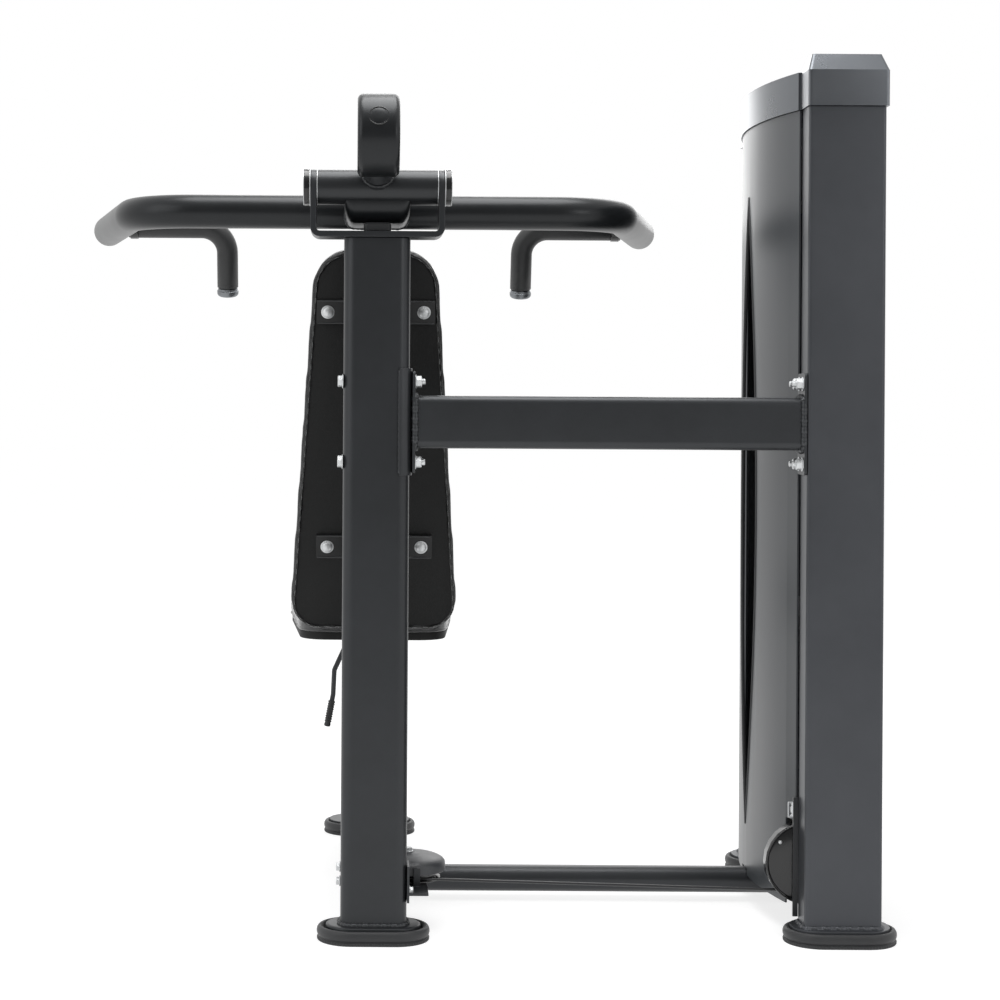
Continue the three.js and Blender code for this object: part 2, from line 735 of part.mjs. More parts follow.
function yoke() {
  const top = PIVOT_Z + PIVOT_TUBE_RADIUS;
  const quarter = Math.PI / 2;
  const bend = YOKE_BEND;
  const inner = YOKE_BEND - YOKE_PLATE;
  const section = outline([
    ...arcPoints(-YOKE_OUTER + bend, YOKE_BOTTOM + bend, bend, 2 * quarter, 3 * quarter, 5),
    ...arcPoints(YOKE_OUTER - bend, YOKE_BOTTOM + bend, bend, 3 * quarter, 4 * quarter, 5),
    new THREE.Vector2(YOKE_OUTER, top),
    new THREE.Vector2(YOKE_INNER, top),
    ...arcPoints(YOKE_INNER - inner, YOKE_BOTTOM + bend, inner, 4 * quarter, 3 * quarter, 3),
    ...arcPoints(-YOKE_INNER + inner, YOKE_BOTTOM + bend, inner, 3 * quarter, 2 * quarter, 3),
    new THREE.Vector2(-YOKE_INNER, top),
    new THREE.Vector2(-YOKE_OUTER, top),
  ]);
  const ears = outline([
    new THREE.Vector2(-YOKE_DEPTH / 2, YOKE_BOTTOM - CUT_OVERRUN),
    new THREE.Vector2(YOKE_DEPTH / 2, YOKE_BOTTOM - CUT_OVERRUN),
    new THREE.Vector2(YOKE_DEPTH / 2, YOKE_BOTTOM + YOKE_BEND),
    ...arcPoints(0, PIVOT_Z, PIVOT_TUBE_RADIUS, 0, 2 * quarter, 12),
    new THREE.Vector2(-YOKE_DEPTH / 2, YOKE_BOTTOM + YOKE_BEND),
  ]);
  const profile = prismX(ears, -YOKE_OUTER - CUT_OVERRUN, YOKE_OUTER + CUT_OVERRUN);
  const bracket = prismY(section, -YOKE_DEPTH, YOKE_DEPTH).intersect(profile);
  const bore = rod(
    PIVOT_SHAFT_RADIUS + FIT,
    vector(-YOKE_OUTER - CUT_OVERRUN, 0, PIVOT_Z),
    vector(YOKE_OUTER + CUT_OVERRUN, 0, PIVOT_Z),
  );
  return cut(bracket, bore);
}

function pivotCap(side) {
  const inset = CAP_THICKNESS / 4;
  const geometry = turned([
    [0, 0],
    [CAP_RADIUS - inset, 0],
    [CAP_RADIUS, inset],
    [CAP_RADIUS, CAP_THICKNESS - inset],
    [CAP_RADIUS - inset, CAP_THICKNESS],
    [0, CAP_THICKNESS],
  ], 20);
  return aimed(geometry, vector(side, 0, 0), vector(side * (YOKE_OUTER + FIT), 0, PIVOT_Z));
}

function pivotBush(side) {
  const inner = around(PIVOT_SHAFT_RADIUS, BUSH_SIDES);
  const outer = within(PIVOT_BORE_RADIUS, PIVOT_BORE_SIDES);
  const geometry = turned([
    [inner, 0],
    [outer, 0],
    [outer, BUSH_LENGTH],
    [inner, BUSH_LENGTH],
    [inner, 0],
  ], BUSH_SIDES);
  const start = PIVOT_TUBE_LENGTH / 2 - BUSH_LENGTH;
  return aimed(geometry, vector(side, 0, 0), vector(side * start, 0, PIVOT_Z));
}

function pivotShaft() {
  return rod(PIVOT_SHAFT_RADIUS, vector(-YOKE_OUTER, 0, PIVOT_Z), vector(YOKE_OUTER, 0, PIVOT_Z));
}

function armBumper() {
  const low = YOKE_BOTTOM + YOKE_PLATE + FIT;
  const high = BAR_Z - NECK_HEIGHT / 2 - FIT;
  const edge = (high - low) / 5;
  const shape = outline(roundedRect(BUMPER_WIDTH, BUMPER_DEPTH, edge * 2));
  return prismZ(shape, low, high, 0, BUMPER_DEPTH / 4, edge);
}

build('yoke', yoke(), 'frame');
build('pivot_shaft', pivotShaft(), 'zinc');
build('left_pivot_cap', pivotCap(-1), 'plastic');
build('right_pivot_cap', pivotCap(1), 'plastic');
build('left_pivot_bush', pivotBush(-1), 'iron');
build('right_pivot_bush', pivotBush(1), 'iron');
build('arm_bumper', armBumper(), 'rubber');

// Press arm: pivot tube, neck, bent bar, counterweight stub and handle tubes in one weldment

function ringOutline(radius, wall, sides) {
  return outline(circlePoints(radius, sides), circlePoints(radius - wall, sides / 2));
}

const BAR_CORNERS = [
  vector(-ARM_END_X, ARM_END_Y, BAR_Z),
  vector(-ARM_CORNER_X, BAR_Y, BAR_Z),
  vector(ARM_CORNER_X, BAR_Y, BAR_Z),
  vector(ARM_END_X, ARM_END_Y, BAR_Z),
];
const BAR_PATH = filleted(BAR_CORNERS, ARM_BEND_RADIUS, 6);
const STUB_DIRECTION = vector(0, Math.cos(COUNTER_ANGLE), Math.sin(COUNTER_ANGLE));
const PIVOT = vector(0, 0, PIVOT_Z);
const COUNTER_CENTRE = PIVOT.clone().addScaledVector(STUB_DIRECTION, COUNTER_OFFSET);

function neck() {
  const low = BAR_Z - NECK_HEIGHT / 2;
  const high = BAR_Z + NECK_HEIGHT / 2;
  const side = outline([
    ...arcPoints(NECK_HEEL / 2, low + NECK_HEEL, NECK_HEEL, Math.PI, 1.5 * Math.PI, 6),
    new THREE.Vector2(BAR_Y, low),
    new THREE.Vector2(BAR_Y, high),
    new THREE.Vector2(-NECK_HEEL / 2, high),
  ]);
  const profile = prismX(side, -NECK_WIDTH, NECK_WIDTH);
  const tube = outline(roundedRect(NECK_WIDTH, NECK_HEIGHT, NECK_CORNER));
  const body = prismY(tube, -NECK_HEEL, BAR_Y, 0, BAR_Z).intersect(profile);
  const inner = outline(roundedRect(
    NECK_WIDTH - 2 * NECK_WALL,
    NECK_HEIGHT - 2 * NECK_WALL,
    NECK_CORNER - NECK_WALL,
  ));
  const hollow = prismY(inner, PIVOT_TUBE_RADIUS, BAR_Y, 0, BAR_Z);
  return cut(body, hollow);
}

function handleCorners(side) {
  const armX = ARM_CORNER_X + (HANDLE_Y - BAR_Y) * Math.tan(ARM_ANGLE);
  const bend = vector(side * HANDLE_X, HANDLE_Y, BAR_Z);
  const end = vector(side * HANDLE_X, HANDLE_Y + HANDLE_LEAN, BAR_Z - HANDLE_DROP);
  return [vector(side * armX, HANDLE_Y, BAR_Z), bend, end];
}

function handleTube(side) {
  const path = filleted(handleCorners(side), HANDLE_BEND_RADIUS, 5);
  return swept(ringOutline(HANDLE_RADIUS, HANDLE_WALL, 12), path);
}

// Round cap on the lower end of a handle
function handleCap(side) {
  const [, bend, end] = handleCorners(side);
  const geometry = turned([
    [0, -WELD_OVERLAP],
    [GRIP_CAP_RADIUS, -WELD_OVERLAP],
    ...GRIP_CAP_SHARES.map(([out, along]) => [out * GRIP_CAP_RADIUS, along * GRIP_CAP_LENGTH]),
    [0, GRIP_CAP_LENGTH],
  ], 16);
  return aimed(geometry, end.clone().sub(bend), end);
}

// Domed plug in the front end of an arm
function armPlug(side) {
  const arm = vector(side * Math.sin(ARM_ANGLE), Math.cos(ARM_ANGLE), 0);
  const geometry = turned([
    [0, -ARM_PLUG_DEPTH],
    [BAR_RADIUS - BAR_WALL / 2, -ARM_PLUG_DEPTH],
    [BAR_RADIUS, 0],
    ...ARM_PLUG_SHARES.map(([out, along]) => [out * BAR_RADIUS, along * BAR_RADIUS]),
  ], 16);
  return aimed(geometry, arm, vector(side * ARM_END_X, ARM_END_Y, BAR_Z));
}

// Vent holes join the hollows of the neck, the bar and the handles.
function ventHoles() {
  const mouth = 2 * BAR_RADIUS;
  const neckVent = rod(VENT_RADIUS, vector(0, BAR_Y - mouth, BAR_Z), vector(0, BAR_Y, BAR_Z), 10);
  const handleVents = [-1, 1].map((side) => {
    const [joint, bend] = handleCorners(side);
    return rod(VENT_RADIUS, joint, joint.clone().lerp(bend, mouth / joint.distanceTo(bend)), 10);
  });
  return [neckVent, ...handleVents];
}

function camSlot() {
  const half = CAM_GROOVE / 2 + CAM_CHEEK + FIT;
  const low = PIVOT_Z - CAM_RADIUS;
  return block(
    CABLE_X - half,
    CABLE_X + half,
    PIVOT_TUBE_RADIUS + FIT,
    BAR_Y - BAR_RADIUS,
    low,
    PIVOT_Z + CAM_RADIUS,
  );
}

function pressArm() {
  const half = PIVOT_TUBE_LENGTH / 2;
  const left = vector(-half, 0, PIVOT_Z);
  const right = vector(half, 0, PIVOT_Z);
  const pivotTube = rod(PIVOT_TUBE_RADIUS, left, right, 20);
  const pivotBore = rod(PIVOT_BORE_RADIUS, left, right, PIVOT_BORE_SIDES);
  const barCore = swept(outline(circlePoints(BAR_RADIUS - WELD_OVERLAP, 10)), BAR_PATH);
  const bar = swept(ringOutline(BAR_RADIUS, BAR_WALL, 16), BAR_PATH);
  const stubStart = PIVOT.clone().addScaledVector(STUB_DIRECTION, PIVOT_BORE_RADIUS);
  const stubReach = COUNTER_OFFSET - COUNTER_RADIUS + 2 * WELD_BEAD;
  const stubEnd = PIVOT.clone().addScaledVector(STUB_DIRECTION, stubReach);
  const stub = rod(STUB_RADIUS, stubStart, stubEnd, 16);
  const handles = [-1, 1].map((side) => cut(handleTube(side), barCore));
  const ends = [-1, 1].flatMap((side) => [handleCap(side), armPlug(side)]);
  const body = join(pivotTube, cut(neck(), barCore), stub, bar, ...handles, ...ends);
  return cut(body, pivotBore, camSlot(), counterweightDisc(FIT), ...ventHoles());
}

function counterweightDisc(clearance = 0) {
  const half = COUNTER_WIDTH / 2 + clearance;
  const radius = COUNTER_RADIUS + clearance;
  const face = COUNTER_EDGE_SHARES.map(([drawn, back]) => [
    radius - drawn * COUNTER_EDGE,
    half - back * COUNTER_EDGE,
  ]);
  const mirrored = face.map(([out, along]) => [out, -along]);
  const geometry = turned([[0, -half], ...mirrored, ...face.reverse(), [0, half]], 28);
  return aimed(geometry, vector(1, 0, 0), COUNTER_CENTRE);
}

build('press_arm', pressArm(), 'frame');
build('counterweight', counterweightDisc(), 'frame');

// Grips on the lower legs of the handles

function grip(side) {
  const corners = handleCorners(side);
  const end = corners[2];
  const direction = end.clone().sub(corners[1]).normalize();
  const geometry = turned([
    [HANDLE_RADIUS + FIT, -GRIP_LENGTH],
    [GRIP_RADIUS - FIT, -GRIP_LENGTH],
    [GRIP_RADIUS, -GRIP_LENGTH + TUBE_WALL],
    [GRIP_RADIUS, -WELD_OVERLAP - FIT],
    [HANDLE_RADIUS + FIT, -WELD_OVERLAP - FIT],
    [HANDLE_RADIUS + FIT, -GRIP_LENGTH],
  ], 20);
  return aimed(geometry, direction, end);
}

build('left_grip', grip(-1), 'rubber');
build('right_grip', grip(1), 'rubber');

// Cable cam on the neck, centred on the pivot

function sector(radius, inner) {
  return outline([
    ...arcPoints(0, 0, radius, CAM_LOW_ANGLE, CAM_HIGH_ANGLE, 14),
    ...arcPoints(0, 0, inner, CAM_HIGH_ANGLE, CAM_LOW_ANGLE, 6),
  ]);
}

function cableCam() {
  const inner = PIVOT_TUBE_RADIUS + 2 * FIT;
  const groove = CAM_GROOVE / 2;
  const outer = groove + CAM_CHEEK;
  const cheek = sector(CAM_RADIUS + CAM_FLANGE, inner);
  const core = sector(CAM_RADIUS - CABLE_RADIUS - FIT, inner);
  const layers = [
    prismX(cheek, CABLE_X - outer, CABLE_X - groove, 0, PIVOT_Z),
    prismX(core, CABLE_X - outer, CABLE_X + outer, 0, PIVOT_Z),
    prismX(cheek, CABLE_X + groove, CABLE_X + outer, 0, PIVOT_Z),
  ];
  const barRoom = swept(outline(circlePoints(BAR_RADIUS + FIT, 20)), BAR_PATH);
  const tubeRoom = block(
    CABLE_X - CAM_GROOVE,
    CABLE_X + CAM_GROOVE,
    -CAM_RADIUS,
    PIVOT_TUBE_RADIUS + 2 * FIT,
    PIVOT_Z - CAM_RADIUS,
    PIVOT_Z + CAM_RADIUS,
  );
  return cut(join(...layers), barRoom, tubeRoom, anchorPin(FIT));
}

function anchorPin(clearance = 0) {
  const half = CAM_GROOVE / 2 + CAM_CHEEK + clearance;
  const y = CAM_RADIUS * Math.cos(ANCHOR_ANGLE);
  const z = PIVOT_Z + CAM_RADIUS * Math.sin(ANCHOR_ANGLE);
  return rod(ANCHOR_RADIUS + clearance, vector(CABLE_X - half, y, z), vector(CABLE_X + half, y, z), 12);
}

build('cable_cam', cableCam(), 'frame');

// Cable route. The first run is the outer tangent from the cam to the front pulley.

const FRONT_PULLEY_Z = CABLE_LOW_Z + PULLEY_RADIUS;
const drop = PIVOT_Z - FRONT_PULLEY_Z;
const span = Math.hypot(FRONT_PULLEY_Y, drop);
const RUN_SLANT = Math.acos((CAM_RADIUS - PULLEY_RADIUS) / span) - Math.atan2(drop, FRONT_PULLEY_Y);
const RUN_START = vector(
  CABLE_X,
  CAM_RADIUS * Math.cos(RUN_SLANT),
  PIVOT_Z + CAM_RADIUS * Math.sin(RUN_SLANT),
);
const runDrop = RUN_START.z - CABLE_LOW_Z;
const RUN_CORNER = vector(CABLE_X, RUN_START.y + runDrop * Math.tan(RUN_SLANT), CABLE_LOW_Z);
const SIDE_CORNER = vector(CABLE_X, CABLE_LANE_Y, CABLE_LOW_Z);
const TOWER_LOW_CORNER = vector(TOWER_X, CABLE_LANE_Y, CABLE_TOWER_Z);
const TOWER_REAR_CORNER = vector(TOWER_X, CABLE_LANE_Y, CABLE_TOP_Z);
const TOWER_FRONT_CORNER = vector(TOWER_X, STACK_Y, CABLE_TOP_Z);
const CABLE_DROP_TOP = CABLE_TOP_Z - PULLEY_RADIUS;

function wrap(before, corner, after) {
  return cornerArc(before, corner, after, PULLEY_RADIUS, 7);
}

const levelWest = TOWER_LOW_CORNER.clone().setX(SIDE_CORNER.x);
const levelEast = SIDE_CORNER.clone().setX(TOWER_X);
const WRAPS = {
  front: wrap(RUN_START, RUN_CORNER, SIDE_CORNER),
  side: wrap(RUN_CORNER, SIDE_CORNER, levelEast),
  tower_low: wrap(levelWest, TOWER_LOW_CORNER, TOWER_REAR_CORNER),
  top_rear: wrap(TOWER_LOW_CORNER, TOWER_REAR_CORNER, TOWER_FRONT_CORNER),
  top_front: wrap(TOWER_REAR_CORNER, TOWER_FRONT_CORNER, vector(TOWER_X, STACK_Y, STACK_TOP)),
};

function driveCable() {
  const points = [RUN_START];
  for (const { points: bend } of Object.values(WRAPS)) {
    points.push(...bend);
  }
  return swept(outline(circlePoints(CABLE_RADIUS, 8)), points);
}

function cableEnd() {
  const start = RUN_SLANT + FIT / CAM_RADIUS;
  const arc = arcPoints(0, PIVOT_Z, CAM_RADIUS, start, ANCHOR_ANGLE, 3);
  const path = arc.map((point) => vector(CABLE_X, point.x, point.y));
  return join(swept(outline(circlePoints(CABLE_RADIUS, 8)), path), anchorPin());
}

function stackCable() {
  const low = STACK_TOP + HEAD_HEIGHT + FIT;
  return rod(CABLE_RADIUS, vector(TOWER_X, STACK_Y, low), vector(TOWER_X, STACK_Y, CABLE_DROP_TOP - FIT), 8);
}

build('drive_cable', driveCable(), 'cable');
build('cable_end', cableEnd(), 'cable');
build('stack_cable', stackCable(), 'cable');

// Pulleys on their axles

function pulley(bend) {
  const half = PULLEY_WIDTH / 2;
  const outer = PULLEY_RADIUS + PULLEY_FLANGE;
  const floor = PULLEY_RADIUS - CABLE_RADIUS - FIT;
  const bore = AXLE_RADIUS + FIT;
  const lip = PULLEY_GROOVE / 2;
  const geometry = turned([
    [bore, -half],
    [outer, -half],
    [outer, -lip],
    [floor, -CABLE_RADIUS],
    [floor, CABLE_RADIUS],
    [outer, lip],
    [outer, half],
    [bore, half],
    [bore, -half],
  ], 18);
  return aimed(geometry, bend.axis, bend.centre);
}

for (const [name, bend] of Object.entries(WRAPS)) {
  build(`${name}_pulley`, pulley(bend), 'plastic');
}

const AXLE_REACH = PULLEY_WIDTH / 2 + TUBE_WALL;

function axle(bend, back, ahead) {
  const start = bend.centre.clone().addScaledVector(bend.axis, -back);
  const end = bend.centre.clone().addScaledVector(bend.axis, ahead);
  return rod(AXLE_RADIUS, start, end, 10);
}

// The box beam between the tower posts carries the axles of the two top pulleys.
function towerTopBeam() {
  const middle = (TOP_BEAM_BOTTOM + TOP_BEAM_TOP) / 2;
  const shape = tubeOutline(TOWER_BEAM_WIDTH, TOP_BEAM_TOP - TOP_BEAM_BOTTOM, TUBE_WALL * 2, TUBE_WALL, 2);
  const box = prismY(shape, TOWER_REAR_Y + FIT, TOWER_FRONT_Y - FIT, TOWER_X, middle);
  const half = PULLEY_GROOVE;
  const slots = [CABLE_LANE_Y, STACK_Y].map((y) => block(
    TOWER_X - half,
    TOWER_X + half,
    y - half,
    y + half,
    TOP_BEAM_BOTTOM - CUT_OVERRUN,
    TOP_BEAM_BOTTOM + TUBE_WALL + CUT_OVERRUN,
  ));
  const reach = TOWER_BEAM_WIDTH / 2 - TUBE_WALL + WELD_OVERLAP;
  const axles = [WRAPS.top_rear, WRAPS.top_front].map((bend) => axle(bend, reach, reach));
  return join(cut(box, ...slots), ...axles);
}

build('tower_top_beam', towerTopBeam(), 'tower');

// Front pulley bracket: two ears on the base beam, with the axle between them

function frontPulleyBracket() {
  const { centre } = WRAPS.front;
  const gap = PULLEY_WIDTH / 2 + 2 * FIT;
  const ear = outline([
    new THREE.Vector2(-PULLEY_HUB_RADIUS * 2, BEAM_TOP + FIT),
    new THREE.Vector2(PULLEY_HUB_RADIUS * 2, BEAM_TOP + FIT),
    ...arcPoints(0, centre.z, PULLEY_HUB_RADIUS, 0, Math.PI, 8),
  ]);
  const ears = [-1, 1].map((side) => {
    const inner = CABLE_X + side * gap;
    const outer = CABLE_X + side * (gap + TUBE_WALL);
    return prismX(ear, Math.min(inner, outer), Math.max(inner, outer), centre.y);
  });
  const plate = block(
    CABLE_X - gap - TUBE_WALL,
    CABLE_X + gap + TUBE_WALL,
    centre.y - PULLEY_HUB_RADIUS * 2,
    centre.y + PULLEY_HUB_RADIUS * 2,
    BEAM_TOP + FIT,
    BEAM_TOP + FIT + TUBE_WALL,
  );
  return join(plate, ...ears, axle(WRAPS.front, gap + WELD_OVERLAP, gap + WELD_OVERLAP));
}

build('front_pulley_bracket', frontPulleyBracket(), 'frame');

// Side pulley beside the post, under a domed cover

const SIDE_PULLEY_BOTTOM = CABLE_LOW_Z - PULLEY_WIDTH / 2;

function sidePulleyBracket() {
  const { centre } = WRAPS.side;
  const left = POST_SIDE + FIT;
  const shelfTop = SIDE_PULLEY_BOTTOM - 2 * FIT;
  const shelf = block(
    left,
    centre.x + PULLEY_HUB_RADIUS * 2,
    -SIDE_BRACKET_HALF,
    centre.y + PULLEY_HUB_RADIUS,
    shelfTop - TUBE_WALL,
    shelfTop,
  );
  const cheek = block(
    left,
    left + TUBE_WALL,
    -SIDE_BRACKET_HALF,
    POST_FRONT - TUBE_WALL,
    COVER_TOP - SIDE_BRACKET_HEIGHT,
    COVER_TOP,
  );
  const tab = block(
    centre.x + PULLEY_HUB_RADIUS / 2,
    centre.x + PULLEY_HUB_RADIUS * 1.2,
    centre.y - COVER_RADIUS - TUBE_WALL - FIT,
    centre.y - COVER_RADIUS - FIT,
    shelfTop - TUBE_WALL,
    COVER_SKIRT_TOP,
  );
  const stud = rod(
    AXLE_RADIUS,
    vector(centre.x, centre.y, shelfTop - WELD_OVERLAP),
    vector(centre.x, centre.y, COVER_TOP - COVER_WALL - FIT),
    10,
  );
  return join(shelf, cheek, tab, stud);
}

function sidePulleyCover() {
  const { centre } = WRAPS.side;
  const inner = COVER_RADIUS - COVER_WALL;
  const bevel = COVER_RADIUS * COVER_BEVEL_SHARE;
  const crown = bevel * COVER_CROWN_SHARE;
  const crownTop = COVER_TOP - COVER_WALL * COVER_FALL_SHARES.crown;
  const geometry = turned([
    [0, COVER_TOP - COVER_WALL],
    [2 * AXLE_RADIUS, COVER_TOP - COVER_WALL],
    [crown, crownTop - COVER_WALL],
    [bevel - COVER_WALL, COVER_SKIRT_TOP + COVER_WALL],
    [inner, COVER_SKIRT_TOP],
    [inner, COVER_SKIRT_BOTTOM],
    [COVER_RADIUS, COVER_SKIRT_BOTTOM],
    [COVER_RADIUS, COVER_SKIRT_TOP],
    [bevel, COVER_SKIRT_TOP + COVER_WALL * COVER_FALL_SHARES.bevel],
    [crown, crownTop],
    [0, COVER_TOP],
  ], 24);
  geometry.translate(centre.x, centre.y, 0);
  return solid(geometry);
}

build('side_pulley_bracket', sidePulleyBracket(), 'frame');
build('side_pulley_cover', sidePulleyCover(), 'plastic');

// Tower pulley by the foot of the tower, with a dished cover on the rear side

function towerPulleyCover() {
  const { centre } = WRAPS.tower_low;
  const geometry = turned([
    [AXLE_RADIUS + FIT, -DISH_CROWN],
    [DISH_RADIUS * DISH_RIM_SHARES.flat, -DISH_CROWN],
    [DISH_RADIUS * DISH_RIM_SHARES.outer, 0],
    [DISH_RADIUS, DISH_WALL + DISH_CROWN],
    [DISH_RADIUS, DISH_FRONT - DISH_BACK],
    [DISH_RADIUS - DISH_WALL, DISH_FRONT - DISH_BACK],
    [DISH_RADIUS - DISH_WALL, 2 * DISH_WALL],
    [DISH_RADIUS * DISH_RIM_SHARES.inner, DISH_WALL],
    [AXLE_RADIUS + FIT, DISH_WALL - DISH_CROWN],
    [AXLE_RADIUS + FIT, -DISH_CROWN],
  ], 24);
  const dish = aimed(geometry, vector(0, 1, 0), vector(centre.x, DISH_BACK, centre.z));
  const slot = PULLEY_GROOVE / 2;
  const far = DISH_RADIUS + CUT_OVERRUN;
  const entry = block(
    centre.x - far,
    centre.x,
    CABLE_LANE_Y - slot,
    DISH_FRONT + CUT_OVERRUN,
    centre.z - PULLEY_RADIUS - slot,
    centre.z - PULLEY_RADIUS + slot,
  );
  const rise = block(
    centre.x + PULLEY_RADIUS - slot,
    centre.x + PULLEY_RADIUS + slot,
    CABLE_LANE_Y - slot,
    DISH_FRONT + CUT_OVERRUN,
    centre.z,
    centre.z + far,
  );
  const beamRoom = block(
    TOWER_X - TOWER_BEAM_WIDTH / 2 - FIT,
    TOWER_X + TOWER_BEAM_WIDTH,
    TOWER_REAR_Y,
    DISH_FRONT + CUT_OVERRUN,
    0,
    TOWER_BEAM_TOP + FIT,
  );
  return cut(dish, entry, rise, beamRoom);
}

function towerPulleyBracket() {
  const { centre } = WRAPS.tower_low;
  const plateLeft = TOWER_X - PULLEY_HUB_RADIUS;
  const arm = block(
    centre.x - PULLEY_HUB_RADIUS,
    TOWER_X + PULLEY_RADIUS,
    DISH_FRONT + 2 * FIT,
    DISH_FRONT + 2 * FIT + TUBE_WALL,
    centre.z - PULLEY_HUB_RADIUS,
    centre.z + PULLEY_HUB_RADIUS,
  );
  const leg = block(
    plateLeft + PULLEY_RADIUS - TUBE_WALL,
    TOWER_X + PULLEY_RADIUS,
    TOWER_REAR_Y + FIT,
    DISH_FRONT + 2 * FIT + WELD_OVERLAP,
    centre.z - PULLEY_HUB_RADIUS,
    centre.z + PULLEY_HUB_RADIUS,
  );
  const stud = rod(
    AXLE_RADIUS,
    vector(centre.x, DISH_BACK - DISH_CROWN, centre.z),
    vector(centre.x, DISH_FRONT + TOWER_AXLE_PROUD, centre.z),
    10,
  );
  return join(arm, leg, stud);
}

build('tower_pulley_cover', towerPulleyCover(), 'plastic');
build('tower_pulley_bracket', towerPulleyBracket(), 'tower');

// Weight stack on two guide rods

const ROD_PLACES = [STACK_Y - ROD_SPACING / 2, STACK_Y + ROD_SPACING / 2];
const STEM_BOTTOM_Z = STACK_BOTTOM + PLATE_PITCH / 2;

function guideRod(y) {
  const low = vector(TOWER_X, y, TOWER_BEAM_TOP + FIT);
  const high = vector(TOWER_X, y, TOP_BEAM_BOTTOM - FIT);
  return rod(ROD_RADIUS, low, high, 12);
}

function plateHoles(low, high) {
  const bottom = low - CUT_OVERRUN;
  const top = high + CUT_OVERRUN;
  const rods = ROD_PLACES.map((y) => rod(
    ROD_RADIUS + ROD_CLEARANCE,
    vector(TOWER_X, y, bottom),
    vector(TOWER_X, y, top),
    10,
  ));
  const stem = rod(
    STEM_RADIUS + ROD_CLEARANCE,
    vector(TOWER_X, STACK_Y, bottom),
    vector(TOWER_X, STACK_Y, top),
    10,
  );
  return [...rods, stem];
}

function pinHeight(index) {
  return STACK_BOTTOM + index * PLATE_PITCH + (PLATE_PITCH - PLATE_GROOVE) / 2;
}

function pinBore(z, radius, from, to) {
  return rod(radius, vector(from, STACK_Y, z), vector(to, STACK_Y, z), 6);
}

// Plates lying on each other, with a groove left between their rounded edges.
function platePile(first, count) {
  const low = STACK_BOTTOM + first * PLATE_PITCH;
  const high = low + count * PLATE_PITCH - PLATE_GAP;
  const left = TOWER_X - PLATE_WIDTH / 2;
  const groove = PLATE_GROOVE;
  const layer = (inset, bottom, top) => block(
    left + inset,
    left + PLATE_WIDTH - inset,
    STACK_Y - PLATE_DEPTH / 2 + inset,
    STACK_Y + PLATE_DEPTH / 2 - inset,
    bottom,
    top,
  );
  const bodies = [layer(groove, low + groove, high - groove)];
  const bores = [];
  for (let index = 0; index < count; index += 1) {
    const bottom = low + index * PLATE_PITCH;
    bodies.push(layer(0, bottom, bottom + PLATE_PITCH - groove));
    bores.push(pinBore(pinHeight(first + index), PIN_RADIUS + FIT, left - CUT_OVERRUN, TOWER_X));
  }
  return cut(join(...bodies), ...plateHoles(low, high), ...bores);
}

function headPlate() {
  const low = STACK_TOP;
  const high = STACK_TOP + HEAD_HEIGHT;
  const half = PLATE_WIDTH / 2;
  const shape = outline([
    new THREE.Vector2(-HEAD_DEPTH / 2, low),
    new THREE.Vector2(HEAD_DEPTH / 2, low),
    new THREE.Vector2(HEAD_DEPTH / 2, low + HEAD_HEIGHT / 2),
    new THREE.Vector2(HEAD_DEPTH / 8, high),
    new THREE.Vector2(-HEAD_DEPTH / 8, high),
    new THREE.Vector2(-HEAD_DEPTH / 2, low + HEAD_HEIGHT / 2),
  ]);
  const body = prismX(shape, TOWER_X - half, TOWER_X + half, STACK_Y);
  const rods = plateHoles(low, high).slice(0, 2);
  const stem = rod(
    STEM_RADIUS + FIT,
    vector(TOWER_X, STACK_Y, low - CUT_OVERRUN),
    vector(TOWER_X, STACK_Y, low + HEAD_HEIGHT / 2),
    10,
  );
  return cut(body, ...rods, stem);
}

function selectorStem() {
  const top = STACK_TOP + HEAD_HEIGHT / 2 - FIT;
  const stem = rod(STEM_RADIUS, vector(TOWER_X, STACK_Y, STEM_BOTTOM_Z), vector(TOWER_X, STACK_Y, top), 10);
  const bores = [];
  for (let index = 1; index < LIFTED_PLATE_COUNT + RESTING_PLATE_COUNT; index += 1) {
    const reach = 2 * STEM_RADIUS;
    bores.push(pinBore(pinHeight(index), PIN_RADIUS + FIT, TOWER_X - reach, TOWER_X + reach));
  }
  return cut(stem, ...bores);
}

function selectorPin() {
  const z = pinHeight(RESTING_PLATE_COUNT);
  const face = TOWER_X - PLATE_WIDTH / 2;
  const shaft = pinBore(z, PIN_RADIUS, face - FIT - WELD_OVERLAP, TOWER_X + STEM_RADIUS / 2);
  const side = PIN_KNOB_SHARES.map(([out, along]) => [out * PIN_KNOB_RADIUS, along * PIN_KNOB_LENGTH]);
  const knob = turned([[0, 0], ...side, [0, PIN_KNOB_LENGTH]], 12);
  return join(shaft, aimed(knob, vector(-1, 0, 0), vector(face - FIT, STACK_Y, z)));
}

function stackBuffer(y) {
  const low = TOWER_BEAM_TOP + FIT;
  const high = STACK_BOTTOM - FIT;
  const edge = TUBE_WALL;
  const geometry = turned([
    [ROD_RADIUS + FIT, low],
    [BUFFER_RADIUS, low],
    [BUFFER_RADIUS, high - edge],
    [BUFFER_RADIUS - edge, high],
    [ROD_RADIUS + FIT, high],
    [ROD_RADIUS + FIT, low],
  ], 12);
  geometry.translate(TOWER_X, y, 0);
  return solid(geometry);
}

for (const [index, name] of ['rear', 'front'].entries()) {
  build(`${name}_guide_rod`, guideRod(ROD_PLACES[index]), 'chrome');
  build(`${name}_stack_buffer`, stackBuffer(ROD_PLACES[index]), 'rubber');
}
build('resting_plates', platePile(0, RESTING_PLATE_COUNT), 'iron');
build('lifted_plates', platePile(RESTING_PLATE_COUNT, LIFTED_PLATE_COUNT), 'iron');
build('head_plate', headPlate(), 'iron');
build('selector_stem', selectorStem(), 'chrome');
build('selector_pin', selectorPin(), 'chrome');

// Shrouds and cap of the tower

